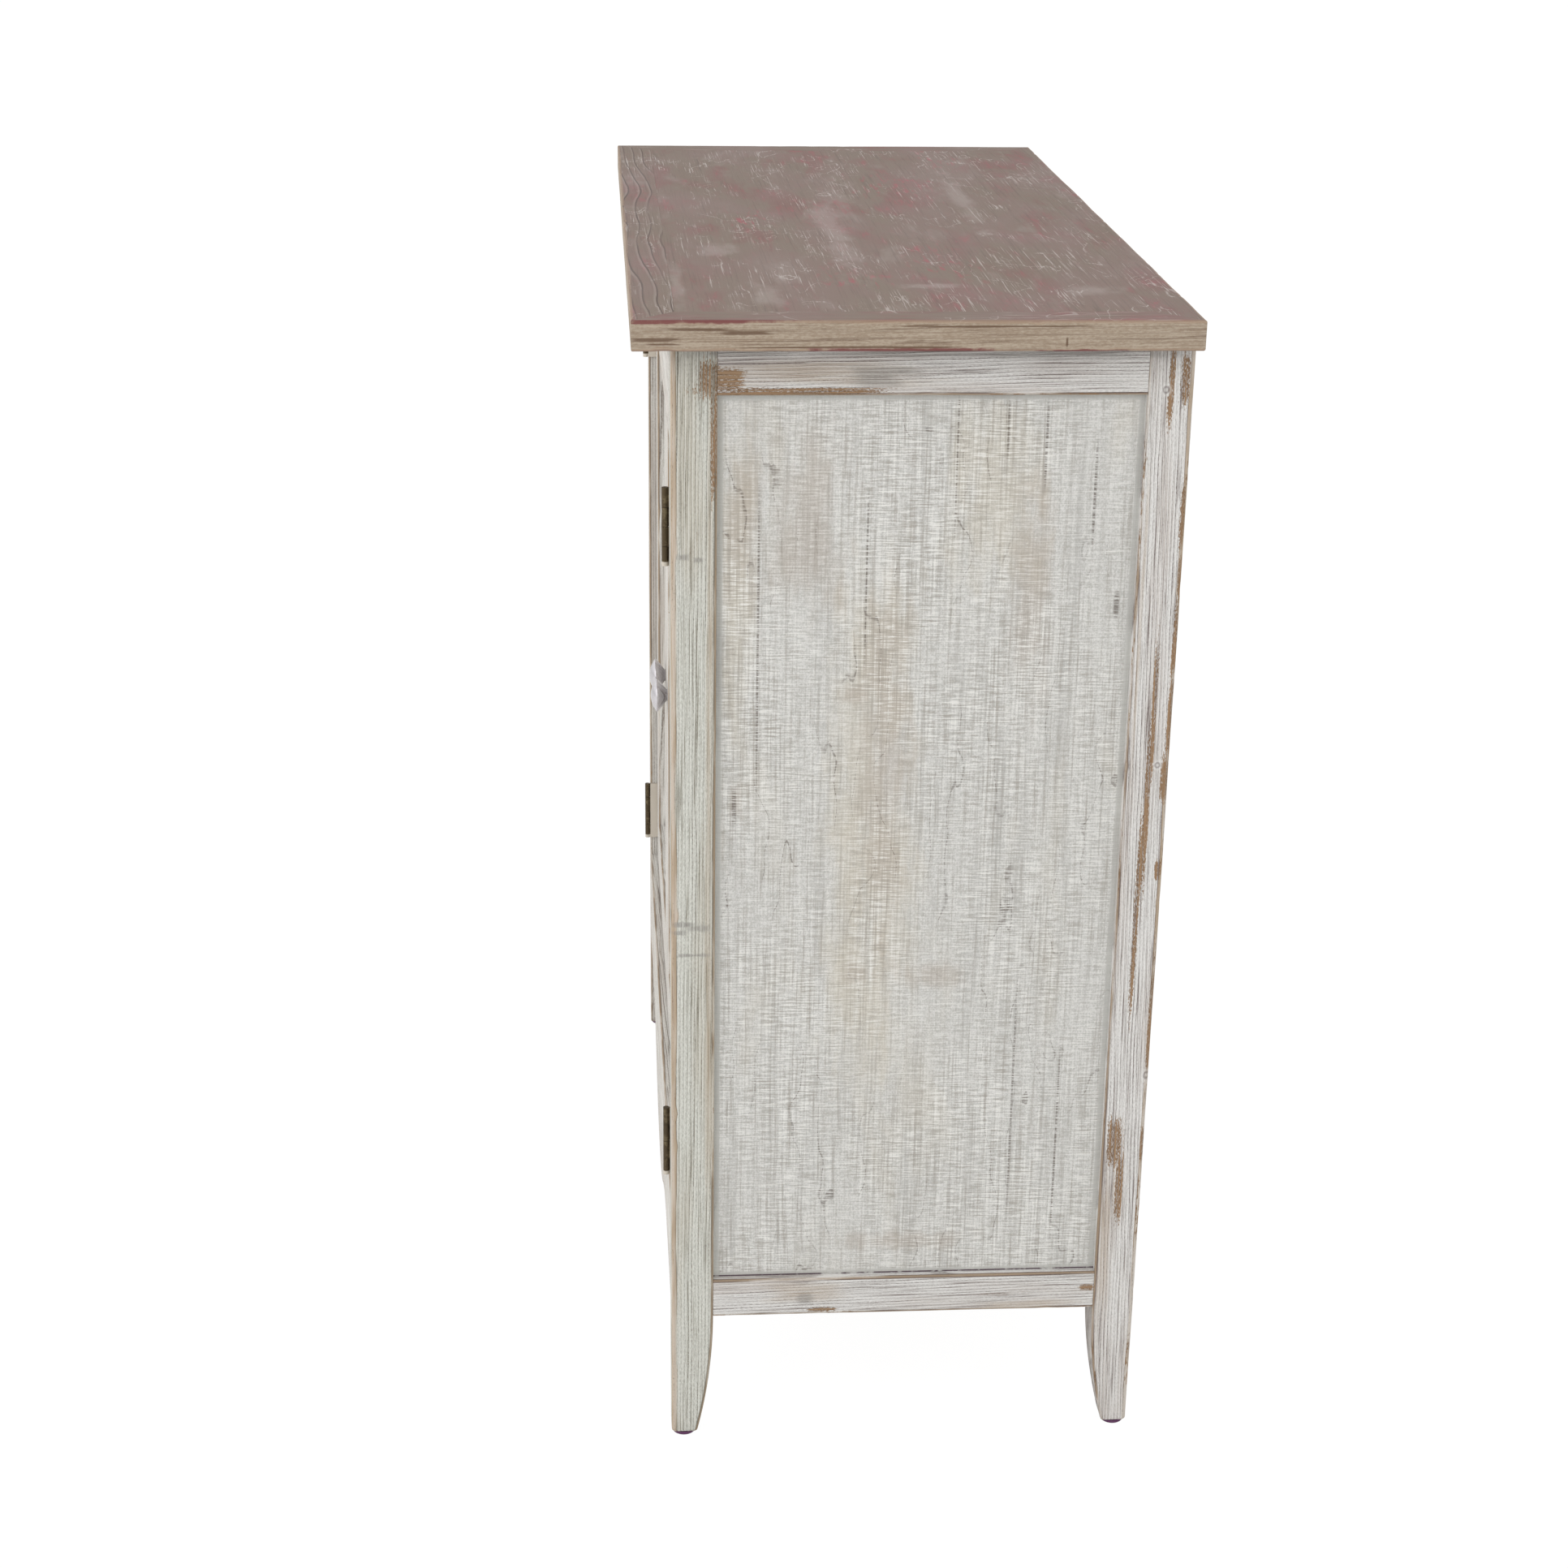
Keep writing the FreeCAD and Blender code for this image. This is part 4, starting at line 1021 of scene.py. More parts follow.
@dataclass(frozen=True)
class PlainWood(Finish):
    """Sanded softwood with a thin clear coat, for what only shows inside."""

    title: str = "plain wood"
    light: Colour = tone(206, 170, 126)
    dark: Colour = tone(168, 122, 78)

    def paint(self, graph: Graph, shader: Node) -> None:
        """Draws late-wood lines and pores in the piece's grain coordinates.

        Args:
            graph: The material's tree.
            shader: Its shader.
        """
        place = self.grain_place(graph)
        grain = GRAIN.place(graph, place, Across=420.0, Along=6.0, Waviness=0.008)
        rings = GROWTH_RINGS.place(graph, place, Spacing=0.0045, Waviness=0.012, Width=0.4)
        colour = graph.blend(graph.ramp(grain["Streaks"], 0.35, 0.7), self.light, self.dark)
        colour = graph.blend(graph.times(rings["Line"], 0.5), colour, self.dark)
        graph.feed(shader.inputs["Base Color"], colour)
        graph.feed(shader.inputs["Roughness"], graph.ramp(grain["Bands"], 0.3, 0.7, 0.42, 0.56))
        shader.inputs["Coat Weight"].default_value = 0.15
        self.relief(graph, shader, grain["Streaks"], 0.0002, 0.3)


@dataclass(frozen=True)
class HiddenWood(Finish):
    """The same softwood for pieces kept from the frame, read from where they stand."""

    title: str = "hidden wood"
    light: Colour = tone(204, 168, 124)
    dark: Colour = tone(164, 120, 78)

    def paint(self, graph: Graph, shader: Node) -> None:
        """Draws fibres in the object's own coordinates.

        Args:
            graph: The material's tree.
            shader: Its shader.
        """
        grain = GRAIN.place(graph, self.row_place(graph), Across=300.0, Along=300.0)
        graph.feed(shader.inputs["Base Color"],
                   graph.blend(graph.ramp(grain["Streaks"], 0.35, 0.7), self.light, self.dark))
        graph.feed(shader.inputs["Roughness"], graph.ramp(grain["Bands"], 0.3, 0.7, 0.5, 0.65))


@dataclass(frozen=True)
class Metal(Finish):
    """A plated metal with tarnish, rubbed places and a soft grain.

    Attributes:
        title: The material's name.
        clean: Colour where it is rubbed.
        tarnish: Colour where it is not.
        rough: Roughness where it is rubbed.
        dull: Roughness where it is tarnished.
        spread: How much of it is tarnished, from 0 to 1.
    """

    title: str
    clean: Colour
    tarnish: Colour
    rough: float
    dull: float
    spread: float

    def paint(self, graph: Graph, shader: Node) -> None:
        """Mixes clean and tarnished metal by two noises.

        Args:
            graph: The material's tree.
            shader: Its shader.
        """
        place = self.row_place(graph)
        cloud = graph.scatter(place, 160.0, 5.0, 0.6)
        specks = graph.scatter(place, 1400.0, 3.0, 0.6)
        mask = graph.ramp(graph.calc("MULTIPLY_ADD", specks, 0.35, cloud), 0.92 - 0.55 * self.spread,
                          1.06 - 0.55 * self.spread)
        graph.feed(shader.inputs["Base Color"], graph.blend(mask, self.clean, self.tarnish))
        graph.feed(shader.inputs["Metallic"], graph.ramp(mask, 0.0, 1.0, 1.0, 0.8))
        graph.feed(shader.inputs["Roughness"], graph.ramp(mask, 0.0, 1.0, self.rough, self.dull))
        self.relief(graph, shader, graph.plus(cloud, specks), 0.0001, 0.3)


@dataclass(frozen=True)
class HingeBrass(Metal):
    """Aged brass whose leaves were painted over with the doors, up to the knuckles.

    Attributes:
        axis: Where the hinge axis stands: its X on the right side, and its Y.
        ends: Heights of the hinges' lower ends, where the brush also caught the knuckles.
        bare: How far from the axis the brass stays bare.
        lap: How far up the paint reaches from those ends, solid and fading.
        paint_tone: The colour of the paint.
    """

    axis: tuple[float, float]
    ends: tuple[float, ...] = ()
    bare: float = 0.0028
    lap: tuple[float, float] = (0.0026, 0.0036)
    paint_tone: Colour = tone(196, 188, 176)

    def paint(self, graph: Graph, shader: Node) -> None:
        """Lays the paint over the metal beyond the knuckles.

        Args:
            graph: The material's tree.
            shader: Its shader.
        """
        super().paint(graph, shader)
        parts = graph.node("SeparateXYZ", {0: self.row_place(graph)}).outputs
        sideways = graph.minus(graph.calc("ABSOLUTE", parts[0]), self.axis[0])
        forward = graph.minus(parts[1], self.axis[1])
        far = graph.calc("SQRT",
                         graph.plus(graph.times(sideways, sideways), graph.times(forward, forward)))
        painted = graph.ramp(far, self.bare, self.bare + 0.0005)
        for end in self.ends:
            above = graph.calc("ABSOLUTE", graph.minus(parts[2], end))
            painted = graph.most(painted, graph.ramp(above, *self.lap, 1.0, 0.0))
        for name, value in (("Base Color", self.paint_tone), ("Metallic", 0.0), ("Roughness", 0.75)):
            below = shader.inputs[name].links[0].from_socket
            if name == "Base Color":
                mixed = graph.blend(painted, below, value)
            else:
                mixed = graph.node("Mix", {0: painted, 2: below, 3: value}, data_type="FLOAT").outputs[0]
            graph.feed(shader.inputs[name], mixed)


@dataclass(frozen=True)
class Moulded(Finish):
    """Moulded plastic with a fine texture and scuffs.

    Attributes:
        title: The material's name.
        colour: Its colour.
        scuffed: Its colour where it is scuffed.
    """

    title: str
    colour: Colour
    scuffed: Colour

    def paint(self, graph: Graph, shader: Node) -> None:
        """Adds scuffs over a pebbled surface.

        Args:
            graph: The material's tree.
            shader: Its shader.
        """
        place = self.row_place(graph)
        cloud = graph.scatter(place, 220.0, 4.0, 0.6)
        pebbles = graph.scatter(place, 2200.0, 2.0)
        mask = graph.ramp(cloud, 0.55, 0.68)
        graph.feed(shader.inputs["Base Color"], graph.blend(mask, self.colour, self.scuffed))
        graph.feed(shader.inputs["Roughness"], graph.ramp(cloud, 0.3, 0.7, 0.45, 0.62))
        self.relief(graph, shader, pebbles, 0.0001, 0.3)


CASE_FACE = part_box("right_top_rail")[1].x
PANEL_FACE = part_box("right_side_panel")[1].x
TOP_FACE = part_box("top_field_panel")[1].z
TOP_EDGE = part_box("top_right_border")[1].x
PIN_LOW, PIN_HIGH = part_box("hinge_pins")
HINGE_AXIS = (PIN_HIGH.x - (PIN_HIGH.y - PIN_LOW.y) / 2, (PIN_LOW.y + PIN_HIGH.y) / 2)
HINGE_ENDS = tuple(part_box(f"right_{level}_door_leaf")[0].z for level in ("lower", "upper"))
SIDE_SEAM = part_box("right_bottom_rail")[1].z
DOOR_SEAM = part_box("right_door_bottom_rail")[1].z

CASE_MARKS = (
    *side_marks(CASE_FACE, Mark.BARE, (-140, 842, 7, 12), (-128, 841, 10, 8), (-82, 834, 58, 2.4),
                (-137, 806, 2.2, 44), (180.0, 596, 1.5, 52), (178.6, 525, 2.0, 66), (176.2, 440, 1.7, 66),
                (170.5, 252, 5, 18), (176, 212, 2.6, 26), (192.5, 594, 2.4, 26), (191.5, 548, 3.6, 15),
                (190, 477, 2.2, 7), (187, 842, 3.0, 17), (177.5, 838, 1.8, 26), (192.5, 350, 2.0, 44),
                (191, 745, 1.4, 22), (192, 700, 1.2, 14), (191.5, 655, 1.6, 26), (192, 612, 1.4, 12),
                (-50, 112, 10, 1.8), (156, 126, 5, 2.5), (192, 250, 1.4, 14)),
    *side_marks(CASE_FACE, Mark.TINT, (166.0, 640, 1.1, 110), (167.5, 160, 5, 60), (-139, 620, 2.0, 190),
                (-139, 330, 2.2, 120), (-60, 846, 60, 8), (-64, 127, 26, 8), (110, 112, 34, 3)),
    *side_marks(CASE_FACE, Mark.SMUDGE, (-26, 844, 14, 6), (-16, 848, 18, 2.4), (-157, 438.5, 9, 1.8),
                (-146, 435.5, 8, 2.4), (-161, 432, 5, 1.4), (-150, 414, 10, 1.2), (-158, 717, 3.5, 2),
                (-147, 715, 3, 1.6), (-64, 122, 6, 5), (-120, 862, 30, 4), (60, 861, 110, 3.5)),
    # Painted shade on the inner, forward-facing face of the back right leg, placed as a grey smudge.
    Placed(Mark.SMUDGE, (0.353, 0.169, 0.05), (0.018, 0.008, 0.065)),
    Placed(Mark.TINT, (-0.347, -0.1675, 0.42), (0.004, 0.0022, 0.14)),
    *side_marks(CASE_FACE, Mark.KNOT, (184.9, 559, 2.0, 2.2), (174, 834.5, 2.2, 2.6),
                (192, 309, 2.4, 3.2)),
)
PANEL_MARKS = (
    *side_marks(PANEL_FACE, Mark.TINT, (-18, 640, 20, 60), (-31, 560, 18, 60), (-17, 470, 22, 60),
                (-27, 385, 18, 50), (-121, 700, 10, 90), (60, 760, 26, 50)),
    *side_marks(PANEL_FACE, Mark.SMUDGE, (-117, 745, 9, 44), (-33, 613, 9, 5), (-26, 395, 8, 6),
                (30, 392, 20, 8), (-120.5, 534, 3.5, 10), (-70, 742, 20, 44), (88, 690, 12, 60),
                (-12, 560, 14, 110), (8, 168, 40, 6)),
    *side_marks(PANEL_FACE, Mark.CRACK, (-105, 652, 0.8, 112), (-121, 528, 1.6, 13), (91, 285, 0.8, 96),
                (126, 250, 0.8, 80), (-29, 700, 0.6, 60), (12, 806, 3.0, 1.6), (32, 790, 0.6, 60),
                (67, 806, 0.9, 20), (94, 794, 0.9, 30), (129.5, 758, 0.9, 38), (149, 679, 1.8, 10)),
)


def top_marks(mark: Mark, *places: tuple[float, float, float, float]) -> tuple[Placed, ...]:
    """Marks of one kind on the upper face of the top.

    Args:
        mark: What the marks are.
        *places: For each mark its X and Y and its half sizes along them, in millimetres.

    Returns:
        The placed marks.
    """
    return tuple(Placed(mark, (x / 1000, y / 1000, TOP_FACE),
                        (half_x / 1000, half_y / 1000, TOP_MARK_DEPTH)) for x, y, half_x, half_y in places)


TOP_MARKS = (
    *top_marks(Mark.SMUDGE, (143, -124, 18, 9), (272, -159, 50, 4), (316, -97, 30, 8), (284, 21, 6, 16),
               (301, 136, 12, 14), (60, -30, 130, 8), (-70, 90, 100, 6)),
    *top_marks(Mark.TINT, (27, -93, 60, 12), (-326, 98, 50, 14), (-160, 40, 60, 30), (180, 40, 60, 20),
               (250, -30, 40, 20)),
    *side_marks(TOP_EDGE, Mark.BARE, (-141, 888, 52, 2.2), (-6, 867, 62, 2.6), (110, 867, 30, 1.4)),
    *side_marks(TOP_EDGE, Mark.CRACK, (-116, 879.6, 15, 1.1), (-178, 875, 15, 1.1), (-172, 872, 12, 0.7),
                (-150, 882, 20, 0.8), (99, 873.4, 0.8, 3.2), (60, 884, 60, 0.6), (-40, 870, 60, 0.7)),
)

TOP_WOOD = TaupeTop(marks=TOP_MARKS)
RINGED_TOP = TaupeTop(title="ringed taupe top", rings=0.95, marks=TOP_MARKS)
WHITEWASH = Whitewash(marks=CASE_MARKS)
GREYED_WHITEWASH = Whitewash(title="greyed whitewash", pale=tone(222, 221, 219), wash=tone(193, 191, 188),
                             warm=tone(184, 174, 167), ridge=tone(233, 232, 230),
                             fibre=tone(126, 115, 111), valley=tone(86, 69, 65), cream=tone(198, 191, 182),
                             rubbed=0.3, corner=1.0, marks=CASE_MARKS)
FRONT_WHITEWASH = Whitewash(title="front whitewash", pale=tone(220, 218, 213), wash=tone(195, 191, 185),
                            warm=tone(190, 179, 169), ridge=tone(230, 229, 225), fibre=tone(154, 146, 138),
                            valley=tone(114, 102, 93), cream=tone(204, 193, 182))
STRAIGHT_WHITEWASH = replace(FRONT_WHITEWASH, title="straight whitewash", waviness=0.0008,
                             marks=CASE_MARKS)
SIDE_PANEL = SawnPanel(seam=SIDE_SEAM, marks=PANEL_MARKS)
DOOR_PANEL = SawnPanel(title="sawn door panel", seam=DOOR_SEAM)
INNER_WOOD = PlainWood()
HIDDEN_WOOD = HiddenWood()
AGED_BRASS = Metal("aged brass", tone(116, 104, 82), tone(84, 72, 54), 0.42, 0.55, 0.7)
HINGE_BRASS = HingeBrass("hinge brass", tone(116, 104, 82), tone(84, 72, 54), 0.42, 0.55, 0.7,
                         axis=HINGE_AXIS, ends=HINGE_ENDS)
SATIN_METAL = Metal("satin metal", tone(214, 211, 215), tone(190, 186, 191), 0.22, 0.32, 0.3)
ZINC = Metal("zinc plate", tone(196, 198, 200), tone(150, 150, 148), 0.3, 0.5, 0.4)
CATCH_PLASTIC = Moulded("catch plastic", tone(226, 223, 215), tone(206, 202, 192))
GLIDE_PLASTIC = Moulded("glide plastic", tone(88, 42, 84), tone(108, 70, 102))


# Meshes


def finish_mesh(work: bmesh.types.BMesh, name: str, sharp: float = 50.0) -> Piece:
    """Turns a worked mesh into an object with smooth faces and sharp corners.

    Args:
        work: The mesh being built.
        name: The object's name.
        sharp: The angle in degrees over which an edge stays sharp.

    Returns:
        The new object.
    """
    bmesh.ops.recalc_face_normals(work, faces=work.faces)
    mesh = bpy.data.meshes.new(name)
    work.to_mesh(mesh)
    work.free()
    mesh.shade_smooth()
    mesh.set_sharp_from_angle(angle=math.radians(sharp))
    made = bpy.data.objects.new(name, mesh)
    bpy.context.scene.collection.objects.link(made)
    return made


def dress(piece: Piece, finish: Finish, nodes: Sequence[str], stands_for: bool = True) -> None:
    """Gives a piece its finish and ties it to the frame.

    Args:
        piece: The new piece.
        finish: Its finish.
        nodes: The frame's nodes that it belongs to.
        stands_for: Whether it replaces those nodes.
    """
    piece.data.materials.append(finish.material())
    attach(piece, BODY_OF[nodes[0]])
    if stands_for:
        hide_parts(*nodes)


@dataclass
class Board:
    """A board drawn as a run of cross-sections, with arrises worn by hand and time.

    Attributes:
        node: The frame's node that it stands for.
        grain: The row axis that its grain runs along.
        arris: Rounding of its four long edges, in metres.
        wear: How unevenly the arrises are worn.
        end_round: Rounding of its two ends.
        foot_round: Rounding of its first end, where that differs.
        trim: How far each end lies inside the node's box, where a tenon is hidden.
        step: Distance between cross-sections.
        outline: The cross-section at a place along the board, if it changes.
        breaks: Places along the board where the cross-section changes at once.
        reshape: A last change to each point, such as a mitre.
        pith: Where the tree's pith lay from the board's middle, in its two cross directions.
        tilt: How far the pith leans in those directions, per metre of length.
        worn_from: The rounding from which an arris counts as worn.
        wide_from: The rounding from which it counts as wide.
        room_share: The most of the board's thinner side that a rounding may take.
        margins: How far from an arris each face has further points, with the most of the face's
            width that this may take.
    """

    node: str
    grain: Axis
    arris: tuple[float, float, float, float] = (0.0009, 0.0009, 0.0009, 0.0009)
    wear: float = 0.5
    end_round: float = 0.0004
    foot_round: float | None = None
    trim: float = 0.0
    step: float = 0.009
    outline: Callable[[float], Rect] | None = None
    breaks: tuple[float, ...] = ()
    reshape: Callable[[Vector], Vector] | None = None
    pith: tuple[float, float] | None = None
    tilt: tuple[float, float] = (0.012, 0.012)
    worn_from: float = 0.0004
    wide_from: float = 0.002
    room_share: float = 0.3
    margins: tuple[tuple[float, float], ...] = ((0.0025, 0.4), (0.012, 0.45))
    seed: int = field(init=False)
    middle: Vector = field(init=False)

    def __post_init__(self) -> None:
        """Draws the board's own shift of the noise, and its pith, from its name."""
        self.seed = sum(ord(letter) * (index + 3) for index, letter in enumerate(self.node)) % 97
        low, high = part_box(self.node)
        self.middle = (low + high) / 2
        if self.pith is None:
            angle = self.seed * 0.9
            self.pith = (math.cos(angle) * 0.07, math.sin(angle) * 0.07)

    def fibre(self, spot: Vector) -> tuple[float, float, float]:
        """Where a point lies from the tree's pith, and along it.

        Args:
            spot: The point in the row frame.

        Returns:
            Its two cross distances from the pith and its distance along it, in metres.
        """
        along, across, up = self.grain.order
        middle = self.middle
        length = spot[along] - middle[along]
        return (spot[across] - middle[across] - self.pith[0] - self.tilt[0] * length,
                spot[up] - middle[up] - self.pith[1] - self.tilt[1] * length, length + self.seed * 0.31)

    def section(self, place: float) -> Rect:
        """The rectangle that the board covers at a place along it.

        Args:
            place: The place.

        Returns:
            The rectangle, in the board's two cross directions.
        """
        if self.outline is not None:
            return self.outline(place)
        low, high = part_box(self.node)
        _, across, up = self.grain.order
        return (low[across], low[up]), (high[across], high[up])

    def stations(self) -> list[tuple[float, float, float]]:
        """Places of the cross-sections.

        Returns:
            For each: where it is, where its outline is read, and how far it is drawn in.
        """
        low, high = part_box(self.node)
        first = low[self.grain.value] + self.trim
        last = high[self.grain.value] - self.trim
        turn = [math.radians(angle) for angle in (0, 22.5, 45, 67.5, 90)]
        foot = self.end_round if self.foot_round is None else self.foot_round
        starts, ends = ([(size * (1 - math.cos(angle)), size * (1 - math.sin(angle))) for angle in turn]
                        for size in (foot, self.end_round))
        made = [(first + along, first + along, inset) for along, inset in starts]
        count = max(2, round((last - first) / self.step))
        spaced = [first + (last - first) * index / count for index in range(1, count)]
        hair = 0.00001
        jumps = [(place, place + side * hair, 0.0) for place in self.breaks for side in (-1, 1)]
        made += sorted([(place, place, 0.0) for place in spaced] + jumps, key=lambda spot: spot[1])
        made += [(last - along, last - along, inset) for along, inset in reversed(ends)]
        return made

    def radius(self, corner: int, place: float, most: float) -> float:
        """How far an arris is worn at a place.

        Args:
            corner: Which of the four arrises.
            place: Where along the board.
            most: The most that the section has room for.

        Returns:
            The rounding in metres.
        """
        base = self.arris[corner]
        spot = Vector((place * 14, corner * 7.3, self.seed))
        slow = noise.noise(spot) * self.wear
        dent = max(0.0, noise.noise(spot * 5) - 0.38) * 4 * self.wear
        return min(max(base * (1 + slow + dent), base * 0.4), most)

    def ring(self, place: float, read: float, inset: float) -> list[tuple[float, float, float]]:
        """The points of one cross-section.

        Args:
            place: Where it stands along the board.
            read: Where its outline is read.
            inset: How far it is drawn in.

        Returns:
            For each point: its two cross coordinates and its distance from a worn arris.
        """
        (low_a, low_b), (high_a, high_b) = self.section(read)
        low_a, low_b, high_a, high_b = low_a + inset, low_b + inset, high_a - inset, high_b - inset
        width, depth = high_a - low_a, high_b - low_b
        corners = ((low_a, low_b), (high_a, low_b), (high_a, high_b), (low_a, high_b))
        runs = (width, depth, width, depth)
        headings = ((1, 0), (0, 1), (-1, 0), (0, -1))
        worn = [base > self.worn_from for base in self.arris]
        wide = [base > self.wide_from for base in self.arris]
        points = []
        for index, (a, b) in enumerate(corners):
            size = self.radius(index, place, min(width, depth) * self.room_share)
            ahead, behind = headings[index], headings[index - 1]
            centre = (a + (ahead[0] - behind[0]) * size, b + (ahead[1] - behind[1]) * size)
            start = math.pi + index * math.pi / 2
            for part in range(5):
                angle = start + part * math.pi / 8
                rubbed = WIDE_EDGE if wide[index] else 0.0
                points.append((centre[0] + math.cos(angle) * size, centre[1] + math.sin(angle) * size,
                               rubbed if worn[index] else EDGE_REACH))
            run = runs[index]
            following = (index + 1) % 4
            for far, share in self.margins:
                gone = size + min(far, run * share - size) if run * share > size else size
                edge = gone if worn[index] else EDGE_REACH
                points.append((a + ahead[0] * gone, b + ahead[1] * gone, edge))
            for far, share in reversed(self.margins):
                gone = size + min(far, run * share - size) if run * share > size else size
                left = run - gone
                edge = gone if worn[following] else EDGE_REACH
                points.append((a + ahead[0] * left, b + ahead[1] * left, edge))
        return points

    def build(self) -> Piece:
        """Makes the board's mesh with its grain and edge attributes.

        Returns:
            The new object.
        """
        work = bmesh.new()
        grain_layer = work.verts.layers.float_vector.new("grain")
        edge_layer = work.verts.layers.float.new("edge")
        along_axis, across_axis, up_axis = self.grain.order

        def point(along: float, across: float, up: float, edge: float) -> Vert:
            """Adds one vertex and its attributes.

            Args:
                along: Where it lies along the board.
                across: Its first cross coordinate.
                up: Its second one.
                edge: Its distance from a worn arris.

            Returns:
                The vertex.
            """
            spot = Vector((0, 0, 0))
            spot[along_axis], spot[across_axis], spot[up_axis] = along, across, up
            if self.reshape is not None:
                spot = self.reshape(spot)
            made = work.verts.new(spot)
            made[grain_layer] = self.fibre(spot)
            made[edge_layer] = edge
            return made

        rings = []
        for place, read, inset in self.stations():
            rings.append([point(place, a, b, edge) for a, b, edge in self.ring(place, read, inset)])
        size = len(rings[0])
        for near, far in zip(rings, rings[1:]):
            for index in range(size):
                after = (index + 1) % size
                work.faces.new((near[index], near[after], far[after], far[index]))
        for ring, backwards in ((rings[0], True), (rings[-1], False)):
            middle = sum((vert.co for vert in ring), Vector()) / size
            hub = work.verts.new(middle)
            hub[grain_layer] = ring[0][grain_layer]
            hub[edge_layer] = EDGE_REACH
            for index in range(size):
                pair = (ring[index], ring[(index + 1) % size])
                work.faces.new((hub, *(reversed(pair) if backwards else pair)))
        made = finish_mesh(work, "worn_" + self.node)
        flats = made.modifiers.new("flats", "WEIGHTED_NORMAL")
        flats.keep_sharp = True
        return made


@dataclass
class RaisedPanel:
    """A panel with a narrow bevel round a raised field, as a grid that follows the bevel.

    Attributes:
        node: The frame's node that it stands for.
        across: The row axis across the panel.
        outward: The row direction that its field faces, as a signed axis number from 1.
        tongue: How far its tongue reaches into the frame.
        bevel: Width of the bevel.
        drop: Depth of the bevel.
        pith: How far the tree's pith lay from the row's axes, across the panel and behind it.
        cell: Size of the grid's cells away from the bevel.
    """

    node: str
    across: Axis
    outward: int
    tongue: float = 0.0055
    bevel: float = 0.0045
    drop: float = 0.0012
    pith: tuple[float, float] = (0.9, 0.2)
    cell: float = 0.02

    def spread(self, low: float, high: float) -> list[tuple[float, float]]:
        """Grid places over one direction, close together at the bevel.

        Args:
            low: The opening's lower limit.
            high: Its upper limit.

        Returns:
            For each: its place and its distance inside the opening.
        """
        near = (-self.tongue, -0.0001, 0.0003, self.bevel - 0.0004, self.bevel, self.bevel + 0.0004,
                self.bevel + 0.003, self.cell)
        inner = high - low - 2 * self.cell
        count = max(2, round(inner / self.cell))
        middle = [self.cell + inner * index / count for index in range(1, count)]
        places = [low + gone for gone in near] + [low + gone for gone in middle]
        places += [high - gone for gone in reversed(near)]
        return [(place, min(place - low, high - place)) for place in places]

    def height(self, inside: float) -> float:
        """How far below the field the face lies at a distance inside the opening."""
        share = min(max(inside / self.bevel, 0.0), 1.0)
        return self.drop * (1 - share)

    def build(self) -> Piece:
        """Makes the panel's mesh with its grain and edge attributes.

        Returns:
            The new object.
        """
        low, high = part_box(self.node)
        facing = abs(self.outward) - 1
        front = high[facing] if self.outward > 0 else low[facing]
        back = low[facing] if self.outward > 0 else high[facing]
        inward = -1 if self.outward > 0 else 1
        sideways = self.across.value
        columns = self.spread(low[sideways] + self.tongue, high[sideways] - self.tongue)
        rows = self.spread(low.z + self.tongue, high.z - self.tongue)
        work = bmesh.new()
        grain_layer = work.verts.layers.float_vector.new("grain")
        edge_layer = work.verts.layers.float.new("edge")

        def sheet(raised: bool) -> list[list[Vert]]:
            """Adds the grid of the field side or of the flat back.

            Args:
                raised: Whether it is the field side.

            Returns:
                Its rows of vertices, from below.
            """
            made = []
            for up, inside_up in rows:
                row = []
                for along, inside_along in columns:
                    inside = min(inside_up, inside_along)
                    spot = Vector((0, 0, up))
                    spot[sideways] = along
                    spot[facing] = front + inward * self.height(inside) if raised else back
                    vert = work.verts.new(spot)
                    vert[grain_layer] = (along + self.pith[0], spot[facing] + self.pith[1], up)
                    vert[edge_layer] = max(inside, 0.0)
                    row.append(vert)
                made.append(row)
            return made

        face, rear = sheet(True), sheet(False)
        for grid, turned in ((face, False), (rear, True)):
            for lower, upper in zip(grid, grid[1:]):
                for index in range(len(columns) - 1):
                    quad = (lower[index], lower[index + 1], upper[index + 1], upper[index])
                    work.faces.new(tuple(reversed(quad)) if turned else quad)

        def rim(grid: list[list[Vert]]) -> list[Vert]:
            """The grid's outer vertices in order."""
            rest = grid[1:-1]
            return [*grid[0], *(row[-1] for row in rest), *grid[-1][::-1], *(row[0] for row in rest[::-1])]

        outer, inner = rim(face), rim(rear)
        for index, vert in enumerate(outer):
            after = (index + 1) % len(outer)
            work.faces.new((vert, inner[index], inner[after], outer[after]))
        return finish_mesh(work, "raised_" + self.node, 30.0)


